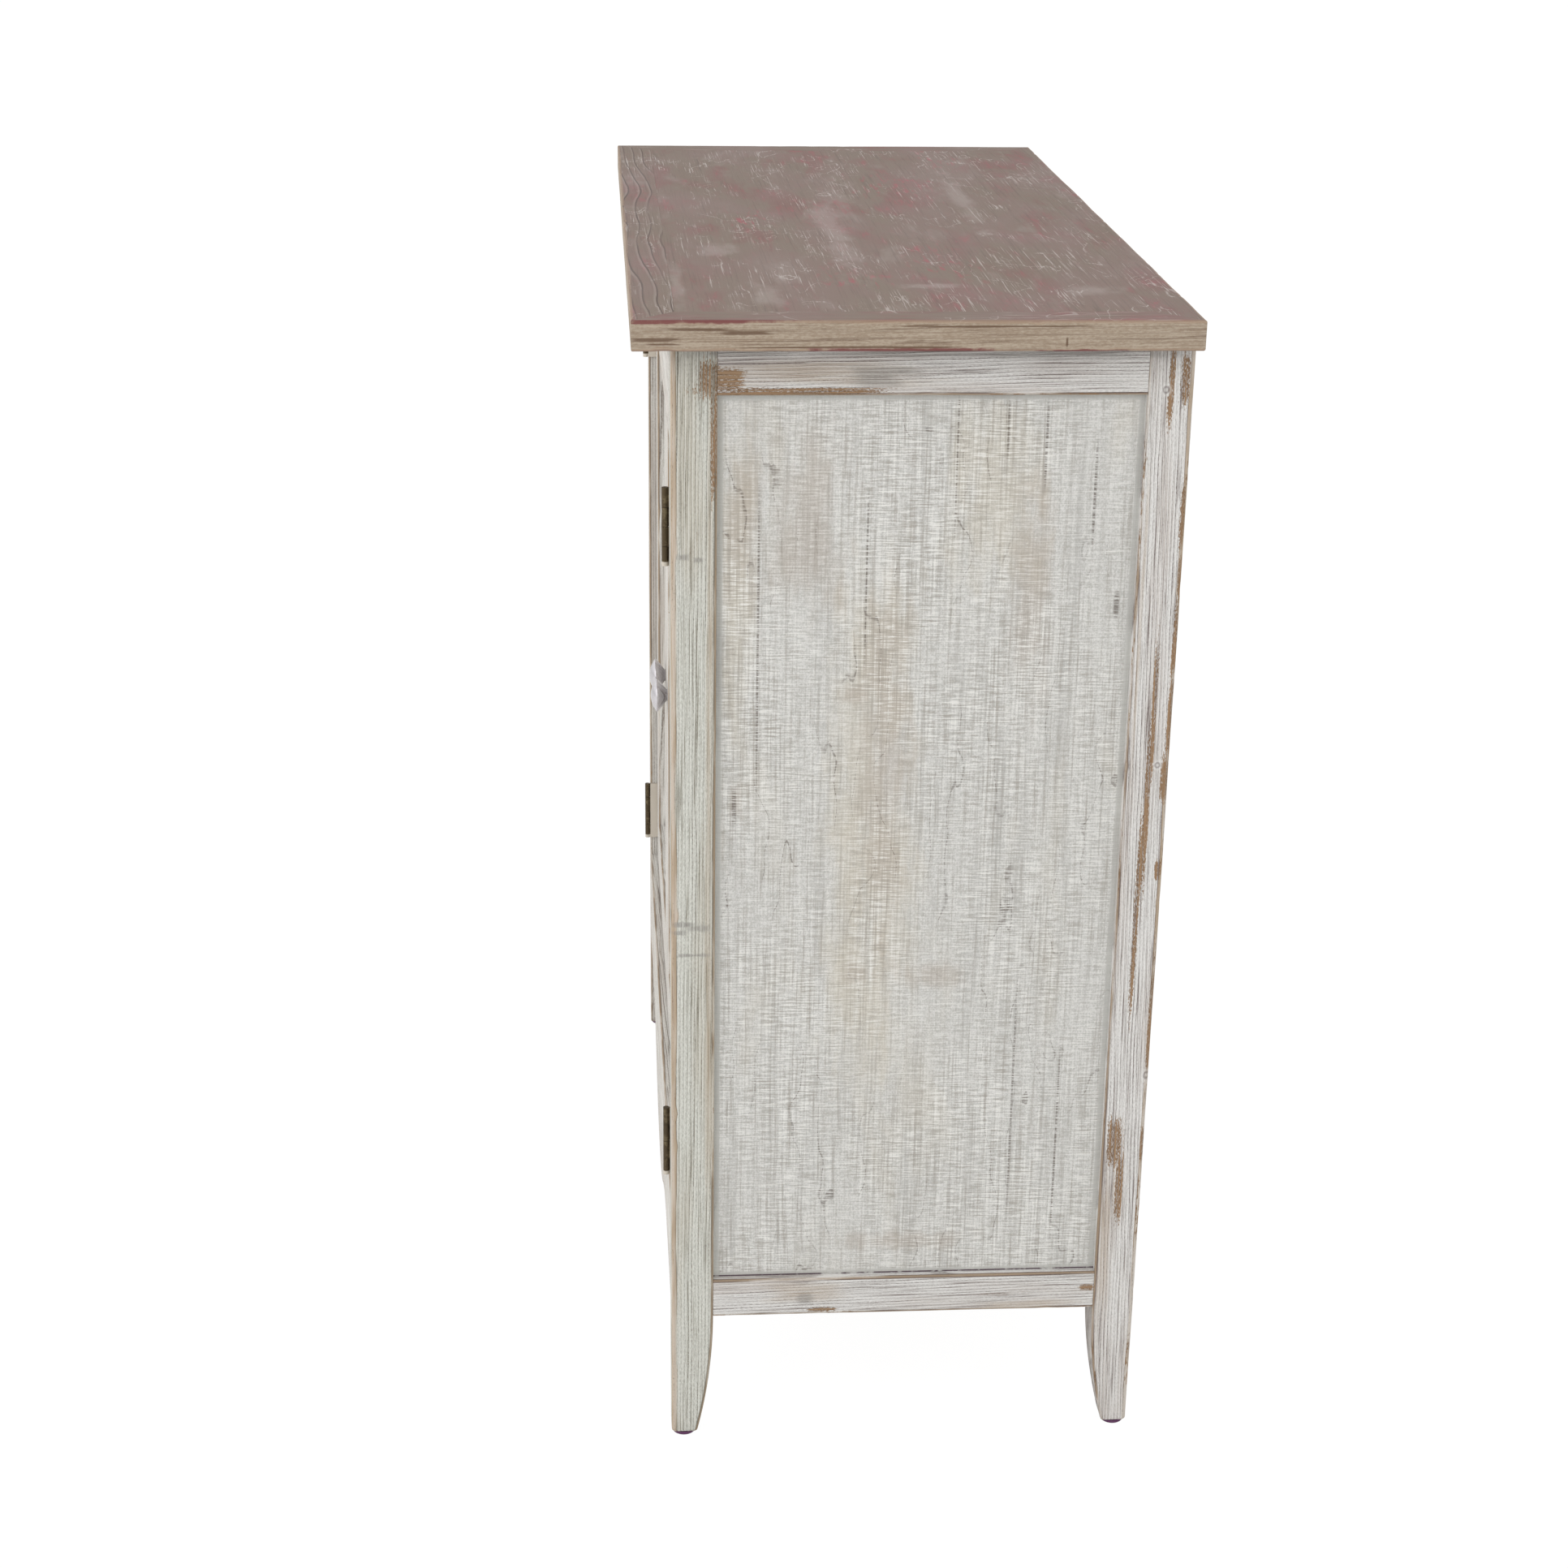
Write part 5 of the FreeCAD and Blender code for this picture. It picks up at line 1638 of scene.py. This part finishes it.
@dataclass
class Turned:
    """A round piece turned from a profile about an axis.

    Attributes:
        name: The object's name.
        base: Where its axis starts.
        heading: The row direction that its axis runs along.
        profile: Radii and heights from one end of the axis to the other, in metres.
        sides: How many sides it is turned with.
    """

    name: str
    base: Vector
    heading: Vector
    profile: Sequence[tuple[float, float]]
    sides: int = 48

    def build(self) -> Piece:
        """Makes the mesh.

        Returns:
            The new object.
        """
        work = bmesh.new()
        turn = Vector((0, 0, 1)).rotation_difference(self.heading).to_matrix().to_4x4()
        shift = Matrix.Translation(self.base) @ turn
        rings = []
        for radius, height in self.profile:
            if radius == 0:
                rings.append([work.verts.new(shift @ Vector((0, 0, height)))])
                continue
            ring = []
            for index in range(self.sides):
                angle = math.tau * index / self.sides
                spot = Vector((math.cos(angle) * radius, math.sin(angle) * radius, height))
                ring.append(work.verts.new(shift @ spot))
            rings.append(ring)
        for near, far in zip(rings, rings[1:]):
            for index in range(self.sides):
                after = (index + 1) % self.sides
                corners = [near[index % len(near)], near[after % len(near)], far[after % len(far)],
                           far[index % len(far)]]
                unique = list(dict.fromkeys(corners))
                work.faces.new(unique)
        return finish_mesh(work, self.name, 35.0)


@dataclass
class SlottedScrew:
    """A screw head with a straight slot, above a plain shank.

    Attributes:
        name: The object's name.
        seat: The middle of the head's outer face.
        heading: The row direction that the head faces.
        radius: The head's radius.
        thick: The head's thickness.
        shank: The shank's radius at the head.
        length: From the head's outer face to the shank's end.
        slot_turn: Which way the slot lies, in degrees.
        slot_share: Half the slot's width, as a share of the head's radius.
        slot_depth_share: The slot's depth, as a share of the head's thickness.
    """

    name: str
    seat: Vector
    heading: Vector
    radius: float
    thick: float
    shank: float
    length: float
    slot_turn: float
    slot_share: float = 0.16
    slot_depth_share: float = 0.45

    def build(self) -> Piece:
        """Makes the mesh.

        Returns:
            The new object.
        """
        work = bmesh.new()
        turn = Vector((0, 0, 1)).rotation_difference(self.heading).to_matrix().to_4x4()
        spin = Matrix.Rotation(math.radians(self.slot_turn), 4, "Z")
        shift = Matrix.Translation(self.seat) @ turn @ spin
        half = self.radius * self.slot_share
        deep = self.thick * self.slot_depth_share
        gap = math.asin(half / self.radius)

        def vert(x: float, y: float, z: float) -> Vert:
            """Adds one vertex in the screw's own frame."""
            return work.verts.new(shift @ Vector((x, y, z)))

        def arc(start: float, end: float, count: int = 14) -> list[Vert]:
            """Adds the vertices of part of the rim."""
            rays = [start + (end - start) * part / count for part in range(count + 1)]
            return [vert(math.cos(ray) * self.radius, math.sin(ray) * self.radius, 0.0) for ray in rays]

        quarter = math.pi / 2
        right = arc(-quarter + gap, quarter - gap)
        left = arc(quarter + gap, 3 * quarter - gap)
        ends = math.sqrt(self.radius ** 2 - half ** 2)
        for rim, side in ((right, 1), (left, -1)):
            low = vert(side * half, -ends, -deep)
            high = vert(side * half, ends, -deep)
            middle = vert(side * half, 0, 0)
            first, last = (low, high) if side > 0 else (high, low)
            work.faces.new((*rim, middle))
            work.faces.new((rim[-1], last, first, rim[0], middle))
            rim.insert(0, first)
            rim.append(last)
        slot_ends = (right[0], right[-1], left[0], left[-1])
        work.faces.new(slot_ends)
        rim = right + left
        rims = [rim]
        back = shift.inverted()
        for radius, height in ((self.radius * 0.98, -self.thick * 0.1), (self.shank, -self.thick),
                               (self.shank * 0.9, -self.length * 0.92), (self.shank * 0.15, -self.length)):
            ring = []
            for above in rim:
                local = back @ above.co
                angle = math.atan2(local.y, local.x)
                low = min(height, -deep * 1.05) if above in slot_ends else height
                ring.append(vert(math.cos(angle) * radius, math.sin(angle) * radius, low))
            rims.append(ring)
        for near, far in zip(rims, rims[1:]):
            for index in range(len(near)):
                after = (index + 1) % len(near)
                work.faces.new((near[index], near[after], far[after], far[index]))
        work.faces.new(rims[-1])
        return finish_mesh(work, self.name, 35.0)


# The cabinet's sub-assemblies


@dataclass
class Top:
    """The bordered top.

    Attributes:
        arris: Rounding of the outer edges.
        joint: Rounding at the joints between the boards.
        pith: Where the pith of each board's tree lay from the board's middle.
    """

    arris: float = 0.0015
    joint: float = 0.0002
    pith: tuple[float, float] = (0.45, 0.05)

    def mitre(self, axis: Axis, outer: float, half: float) -> Callable[[Vector], Vector]:
        """The change that mitres both ends of a border board.

        Args:
            axis: The axis across the board.
            outer: Where its outer edge lies on that axis.
            half: Half its outer edge's length.

        Returns:
            A function that moves a point of the board.
        """
        along = Axis.Y.value if axis is Axis.X else Axis.X.value

        def move(spot: Vector) -> Vector:
            """Draws a point in by its distance from the outer edge."""
            spot[along] *= (half - abs(spot[axis.value] - outer)) / half
            return spot

        return move

    def build(self) -> None:
        """Makes the field panel and the four border boards."""
        low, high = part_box("top_front_border")
        half_width, front = high.x, low.y
        half_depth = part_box("top_right_border")[1].y
        arris, joint = self.arris, self.joint
        borders = (("top_front_border", Axis.X, (arris, joint, joint, arris),
                    self.mitre(Axis.Y, front, half_width)),
                   ("top_back_border", Axis.X, (joint, arris, arris, joint),
                    self.mitre(Axis.Y, -front, half_width)),
                   ("top_right_border", Axis.Y, (joint, joint, arris, arris),
                    self.mitre(Axis.X, half_width, half_depth)),
                   ("top_left_border", Axis.Y, (arris, arris, joint, joint),
                    self.mitre(Axis.X, -half_width, half_depth)))
        for node, axis, edges, move in borders:
            board = Board(node, axis, edges, wear=0.8, end_round=0.0001, step=0.006, reshape=move,
                          pith=self.pith)
            finish = RINGED_TOP if node == "top_front_border" else TOP_WOOD
            dress(board.build(), finish, [node])
        field_board = Board("top_field_panel", Axis.X, (joint,) * 4, end_round=0.0001, step=0.03,
                            pith=self.pith)
        dress(field_board.build(), TOP_WOOD, ["top_field_panel"])
        LOG.info("top: field panel and mitred border")


@dataclass
class Case:
    """The posts, rails and fixed panels.

    Attributes:
        leg_rise: Height of the legs' tapered part.
        leg_taper: How far their inner faces draw in at the foot.
        post_arris: Rounding of the posts' outer corners.
        foot_round: Rounding at the feet.
        wave_drop: How far the apron's wave hangs.
        wave_flat: Level length beside each post.
    """

    leg_rise: float = 0.105
    leg_taper: float = 0.0125
    post_arris: float = 0.0025
    foot_round: float = 0.003
    wave_drop: float = 0.055
    wave_flat: float = 0.112

    def leg_outline(self, node: str, side: int, front: bool) -> Callable[[float], Rect]:
        """A post's cross-section at each height.

        Args:
            node: The post's node.
            side: 1 on the right, -1 on the left.
            front: Whether it is a front post.

        Returns:
            A function from a height to the section.
        """
        low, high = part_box(node)
        rise, taper = self.leg_rise, self.leg_taper
        bow = (rise ** 2 + taper ** 2) / (2 * taper)

        def section(height: float) -> Rect:
            """The post's rectangle at a height above the floor.

            Args:
                height: The height.

            Returns:
                The rectangle.
            """
            below = max(0.0, low.z + rise - height)
            drawn = bow - math.sqrt(max(bow ** 2 - below ** 2, 0.0))
            x_low = low.x + (drawn if side > 0 else 0)
            x_high = high.x - (drawn if side < 0 else 0)
            y_low = low.y + (0 if front else drawn)
            y_high = high.y - (drawn if front else 0)
            return (x_low, y_low), (x_high, y_high)

        return section

    def posts(self) -> None:
        """Makes the four posts with their tapered legs."""
        for side in Side:
            for front in (True, False):
                node = f"{'front' if front else 'back'}_{side.word}_post"
                edges = [0.0009] * 4
                corner = {(1, True): 1, (-1, True): 0, (1, False): 2, (-1, False): 3}
                edges[corner[side.value, front]] = self.post_arris
                finish, tilt = (WHITEWASH, 0.006) if front else (GREYED_WHITEWASH, -0.022)
                if front and side is Side.LEFT:
                    finish, tilt = STRAIGHT_WHITEWASH, 0.0
                board = Board(node, Axis.Z, tuple(edges), wear=0.55, foot_round=self.foot_round,
                              step=0.007, outline=self.leg_outline(node, side.value, front),
                              pith=(0.012, -0.11 if front else 0.08), tilt=(0.0, tilt))
                dress(board.build(), finish, [node])

    def wave(self, node: str) -> Callable[[float], Rect]:
        """The apron's cross-section at each place across the cabinet.

        Args:
            node: The apron's node.

        Returns:
            A function from a place to the section.
        """
        low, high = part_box(node)
        half = high.x - self.wave_flat
        bow = (half ** 2 + self.wave_drop ** 2) / (4 * self.wave_drop)
        ends = low.z + self.wave_drop

        def section(place: float) -> Rect:
            """The apron's rectangle at a place across the cabinet.

            Args:
                place: The place.

            Returns:
                The rectangle.
            """
            far = abs(place)
            if far >= half:
                bottom = ends
            elif far > half / 2:
                bottom = ends - bow + math.sqrt(bow ** 2 - (half - far) ** 2)
            else:
                bottom = low.z + bow - math.sqrt(bow ** 2 - far ** 2)
            return (low.y, bottom), (high.y, high.z)

        return section

    def rails(self) -> None:
        """Makes the side, front and back rails."""
        for side in Side:
            for node in (f"{side.word}_top_rail", f"{side.word}_bottom_rail"):
                board = Board(node, Axis.Y, pith=(0.09, 0.01), tilt=(0.02, 0.0))
                dress(board.build(), GREYED_WHITEWASH, [node])
        dress(Board("front_frieze", Axis.X).build(), FRONT_WHITEWASH, ["front_frieze"])
        apron = Board("front_apron", Axis.X, step=0.006, outline=self.wave("front_apron"))
        dress(apron.build(), FRONT_WHITEWASH, ["front_apron"])
        for node in ("back_top_rail", "back_bottom_rail"):
            dress(Board(node, Axis.X, step=0.02).build(), WHITEWASH, [node])

    def panels(self) -> None:
        """Makes the side panels and the back panel."""
        for side in Side:
            node = f"{side.word}_side_panel"
            dress(RaisedPanel(node, Axis.Y, side.value).build(), SIDE_PANEL, [node])
        back = Board("back_panel", Axis.Z, (0.0002,) * 4, step=0.05)
        dress(back.build(), INNER_WOOD, ["back_panel"])

    def build(self) -> None:
        """Makes the whole case."""
        self.posts()
        self.rails()
        self.panels()
        LOG.info("case: posts, rails and panels")


@dataclass
class Interior:
    """The floor board, the shelf, their cleats and the top cleats.

    Attributes:
        notch_gap: Slack of the boards round the posts.
    """

    notch_gap: float = 0.0005

    def notched(self, node: str) -> Board:
        """A board cut round the posts.

        Args:
            node: The board's node.

        Returns:
            The board, ready to build.
        """
        low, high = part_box(node)
        post_low, post_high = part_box("front_right_post")
        inner = post_low.x - self.notch_gap
        front = max(low.y, post_high.y + self.notch_gap)
        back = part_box("back_right_post")[0].y - self.notch_gap

        def section(place: float) -> Rect:
            """The board's rectangle: narrower beside the posts."""
            near, far = (front, back) if abs(place) > inner else (low.y, high.y)
            return (near, low.z), (far, high.z)

        return Board(node, Axis.X, step=0.02, outline=section, breaks=(-inner, inner))

    def build(self) -> None:
        """Makes the inner boards and cleats."""
        for node in ("floor_board", "shelf"):
            dress(self.notched(node).build(), INNER_WOOD, [node])
        for side in Side:
            for kind in ("floor", "shelf", "top"):
                node = f"{side.word}_{kind}_cleat"
                dress(Board(node, Axis.Y, step=0.02).build(), INNER_WOOD, [node])
        LOG.info("interior: floor board, shelf and cleats")


@dataclass
class Door:
    """One framed door with its knob.

    Attributes:
        side: Which door it is.
        tenon: Length of the rails' hidden tenons.
        knob_foot: The knob's radius at the door.
        knob_dome: Crown of the knob's face.
        knob_rim: Length of the knob's straight rim.
        knob_soft: Rounding of the knob's edges.
    """

    side: Side
    tenon: float = 0.0055
    knob_foot: float = 0.005
    knob_dome: float = 0.0045
    knob_rim: float = 0.0015
    knob_soft: float = 0.0004

    def build(self) -> None:
        """Makes the door's wooden pieces and its knob."""
        word = self.side.word
        for kind, grain, trim in (("hinge_stile", Axis.Z, 0.0), ("meeting_stile", Axis.Z, 0.0),
                                  ("top_rail", Axis.X, self.tenon), ("bottom_rail", Axis.X, self.tenon)):
            node = f"{word}_door_{kind}"
            dress(Board(node, grain, trim=trim).build(), FRONT_WHITEWASH, [node])
        node = f"{word}_door_panel"
        dress(RaisedPanel(node, Axis.X, -2).build(), DOOR_PANEL, [node])
        self.knob()
        LOG.info("%s door", word)

    def knob(self) -> None:
        """Makes the turned knob."""
        node = f"{self.side.word}_knob"
        low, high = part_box(node)
        middle = (low + high) / 2
        base = Vector((middle.x, high.y, middle.z))
        rim, foot, length = (high.x - low.x) / 2, self.knob_foot, high.y - low.y
        cone = length - self.knob_dome - self.knob_rim
        soft = self.knob_soft
        profile = [(0, 0), (foot - soft, 0), (foot, soft), (foot * 1.02, cone * 0.14)]
        for share in (0.3, 0.45, 0.6, 0.75, 0.9):
            profile.append((foot + (rim - foot) * (share - 0.1) / 0.9, cone * share))
        profile += [(rim - soft, cone), (rim, cone + soft), (rim, cone + self.knob_rim - soft),
                    (rim - soft, cone + self.knob_rim)]
        crown = rim - soft * 2
        bow = (crown ** 2 + self.knob_dome ** 2) / (2 * self.knob_dome)
        for index in range(13):
            radius = crown * (1 - index / 12)
            profile.append((radius, length - bow + math.sqrt(bow ** 2 - radius ** 2)))
        piece = Turned("turned_" + node, base, Vector((0, -1, 0)), profile).build()
        dress(piece, SATIN_METAL, [node])


def solids_of(node: str) -> list[tuple[Vector, Vector]]:
    """The boxes of a frame node's separate solids, whose faces the frame keeps apart.

    Args:
        node: The frame's node.

    Returns:
        For each solid: the lower and the upper corner of its box.
    """
    work = bmesh.new()
    work.from_mesh(frame["nodes"][node].data)
    bmesh.ops.remove_doubles(work, verts=work.verts, dist=SAME_CORNER)
    seen = set()
    found = []
    for start in work.verts:
        if start in seen:
            continue
        seen.add(start)
        group = [start]
        for vert in group:
            near = [link.other_vert(vert) for link in vert.link_edges]
            fresh = [other for other in near if other not in seen]
            seen.update(fresh)
            group.extend(fresh)
        spots = [vert.co for vert in group]
        found.append((Vector(min(spot[axis] for spot in spots) for axis in range(3)),
                      Vector(max(spot[axis] for spot in spots) for axis in range(3))))
    work.free()
    return sorted(found, key=lambda box: tuple(box[0]))


def joined(pieces: Sequence[Piece], name: str) -> Piece:
    """Makes one piece of several.

    Args:
        pieces: The pieces, of which only the first is kept.
        name: The joined piece's name.

    Returns:
        The joined piece.
    """
    first, *others = pieces
    work = bmesh.new()
    for piece in pieces:
        work.from_mesh(piece.data)
    work.to_mesh(first.data)
    work.free()
    for piece in others:
        bpy.data.objects.remove(piece)
    first.name = name
    return first


@dataclass(frozen=True)
class Glides:
    """Turned floor glides under the feet.

    Attributes:
        swell: How far they reach beyond the frame's glides, in metres.
        soft: Rounding of their lower edge.
        rim: Bevel of their upper edge.
    """

    swell: float = 0.0012
    soft: float = 0.0018
    rim: float = 0.0002

    def build(self) -> None:
        """Makes one piece that holds the four glides."""
        made = []
        for index, (low, high) in enumerate(solids_of("foot_glides")):
            radius, thick = (high.x - low.x) / 2 + self.swell, high.z - low.z
            base = Vector(((low.x + high.x) / 2, (low.y + high.y) / 2, low.z))
            profile = [(0, 0), (radius * 0.5, 0)]
            for angle in (math.radians(step * 15) for step in range(7)):
                profile.append((radius - self.soft * (1 - math.sin(angle)),
                                self.soft * (1 - math.cos(angle))))
            profile += [(radius, thick - self.rim), (radius - self.rim, thick), (0, thick)]
            made.append(Turned(f"glide_{index}", base, Vector((0, 0, 1)), profile).build())
        dress(joined(made, "turned_glides"), GLIDE_PLASTIC, ["foot_glides"])


@dataclass(frozen=True)
class ScrewSet:
    """Slotted screws in place of all the plain ones of one frame node.

    Attributes:
        node: The frame's node.
        heading: The row direction that their heads face; on the left side it is mirrored.
        thick: Thickness of the heads.
        finish: Their metal.
        first_turn: Which way the first one's slot lies, in degrees.
        turn_step: How far each next one is turned further.
    """

    node: str
    heading: tuple[float, float, float]
    thick: float
    finish: Finish
    first_turn: float = 23.0
    turn_step: float = 37.0

    def build(self) -> None:
        """Makes one piece that holds all the screws."""
        made = []
        for index, (low, high) in enumerate(solids_of(self.node)):
            middle = (low + high) / 2
            heading = Vector(self.heading)
            if middle.x < 0:
                heading.x = -heading.x
            along = max(range(3), key=lambda axis: abs(heading[axis]))
            length = high[along] - low[along]
            radius = max(high[axis] - low[axis] for axis in range(3) if axis != along) / 2
            seat = middle + heading * length / 2
            screw = SlottedScrew(f"{self.node}_{index}", seat, heading, radius, self.thick, radius * 0.5,
                                 length, self.first_turn + self.turn_step * index)
            made.append(screw.build())
        dress(joined(made, "slotted_" + self.node), self.finish, [self.node])


def build_screws() -> None:
    """Makes the screws of the hinges, the top and the knobs, and the glides."""
    leaf_head, plain_head = 0.0012, 0.0024
    ScrewSet("post_leaf_screws", (-1, 0, 0), leaf_head, AGED_BRASS).build()
    ScrewSet("top_screws", (0, 0, -1), plain_head, ZINC).build()
    for side in Side:
        ScrewSet(f"{side.word}_door_leaf_screws", (1, 0, 0), leaf_head, AGED_BRASS).build()
        ScrewSet(f"{side.word}_knob_screw", (0, 1, 0), plain_head, ZINC).build()
    Glides().build()
    LOG.info("screws and glides")


def dress_frame_pieces() -> None:
    """Finishes the pieces kept from the frame: hinges, strike plates, catch and dowels."""
    finishes = {"hinge_brass": HINGE_BRASS, "zinc_steel": ZINC, "catch_plastic": CATCH_PLASTIC,
                "inner_wood": HIDDEN_WOOD}
    for name, piece in frame["nodes"].items():
        if piece.hide_render:
            continue
        piece.data.materials.clear()
        piece.data.materials.append(finishes[SLOT_OF[name]].material())
    LOG.info("hinges, strike plates, catch and dowels")


@dataclass
class Studio:
    """The floor, the lamps, the world and the camera.

    Attributes:
        lens: The camera's focal length on a 36 mm sensor.
        eye: Where the camera stands.
        yaw: How far it looks towards the back, in radians.
        pitch: How far it looks down.
        roll: How far it leans.
        world: Strength of the even light.
        glow: How much of an even white the camera sees over the floor's shading.
        aim: What the lamps face.
        reach: How far the floor reaches from the middle.
    """

    lens: float = 63.855
    eye: tuple[float, float, float] = (2.2387, -0.2186, 1.2600)
    yaw: float = 0.0715
    pitch: float = 0.3649
    roll: float = 0.0141
    world: float = 0.8
    glow: float = 0.92
    aim: tuple[float, float, float] = (0.0, 0.0, 0.45)
    reach: float = 12.0

    def camera(self) -> None:
        """Stands the camera where the photograph was taken from."""
        ahead = Vector((-math.cos(self.yaw) * math.cos(self.pitch),
                        math.sin(self.yaw) * math.cos(self.pitch), -math.sin(self.pitch)))
        level = Vector((math.sin(self.yaw), math.cos(self.yaw), 0))
        above = level.cross(ahead)
        right = level * math.cos(self.roll) + above * math.sin(self.roll)
        up = above * math.cos(self.roll) - level * math.sin(self.roll)
        data = bpy.data.cameras.new("camera")
        data.lens, data.sensor_width = self.lens, 36.0
        data.clip_start, data.clip_end = 0.05, 50.0
        made = bpy.data.objects.new("camera", data)
        turn = Matrix((right, up, -ahead)).transposed().to_4x4()
        made.matrix_world = Matrix.Translation(self.eye) @ turn
        bpy.context.scene.collection.objects.link(made)
        bpy.context.scene.camera = made

    def lamp(self, name: str, place: tuple[float, float, float], size: float, power: float) -> None:
        """Hangs a square lamp that faces the cabinet.

        Args:
            name: The lamp's name.
            place: Where it hangs.
            size: Its side.
            power: Its power in watts.
        """
        data = bpy.data.lights.new(name, "AREA")
        data.size, data.energy = size, power
        made = bpy.data.objects.new(name, data)
        made.location = place
        heading = Vector(self.aim) - Vector(place)
        made.rotation_euler = heading.to_track_quat("-Z", "Y").to_euler()
        bpy.context.scene.collection.objects.link(made)

    def floor(self) -> None:
        """Lays the pale floor, which shows white to the camera but keeps the shadow."""
        work = bmesh.new()
        bmesh.ops.create_grid(work, x_segments=1, y_segments=1, size=self.reach)
        made = finish_mesh(work, "studio_floor")
        material = bpy.data.materials.new("studio floor")
        material.use_nodes = True
        material.node_tree.nodes.clear()
        graph = Graph(material.node_tree)
        matte = graph.node("BsdfDiffuse", {"Color": (0.9, 0.9, 0.9, 1.0)})
        glow = graph.node("Emission", {"Color": (1.0, 1.0, 1.0, 1.0), "Strength": 1.05})
        ray = graph.node("LightPath", {}).outputs["Is Camera Ray"]
        share = graph.times(ray, self.glow)
        mixed = graph.node("MixShader", {0: share, 1: matte.outputs[0], 2: glow.outputs[0]})
        graph.node("OutputMaterial", {"Surface": mixed.outputs[0]})
        made.data.materials.append(material)

    def sky(self) -> None:
        """Fills the world with even light, and shows it white to the camera."""
        world = bpy.data.worlds.new("studio")
        world.use_nodes = True
        world.node_tree.nodes.clear()
        graph = Graph(world.node_tree)
        light = graph.node("Background", {"Color": (1.0, 0.99, 0.97, 1.0), "Strength": self.world})
        white = graph.node("Background", {"Color": (1.0, 1.0, 1.0, 1.0), "Strength": 1.0})
        path = graph.node("LightPath", {}).outputs
        seen = graph.most(path["Is Camera Ray"], path["Is Glossy Ray"])
        mixed = graph.node("MixShader", {0: seen, 1: light.outputs[0], 2: white.outputs[0]})
        graph.node("OutputWorld", {"Surface": mixed.outputs[0]})
        bpy.context.scene.world = world

    def build(self) -> None:
        """Sets up the whole studio."""
        self.camera()
        self.floor()
        self.sky()
        self.lamp("key", (2.2, -2.0, 2.4), 1.6, 28.0)
        self.lamp("fill", (1.6, 2.2, 1.8), 2.0, 12.0)
        self.lamp("front", (0.4, -2.6, 1.3), 2.0, 14.0)
        bpy.context.scene.view_settings.view_transform = "Standard"
        LOG.info("studio: camera, lamps, floor and world")


def main() -> None:
    """Builds the sub-assemblies in order."""
    logging.basicConfig(level=logging.INFO, format="%(name)s %(message)s")
    Studio().build()
    Top().build()
    Case().build()
    Interior().build()
    for side in Side:
        Door(side).build()
    build_screws()
    dress_frame_pieces()


if __name__ == "__main__":
    main()
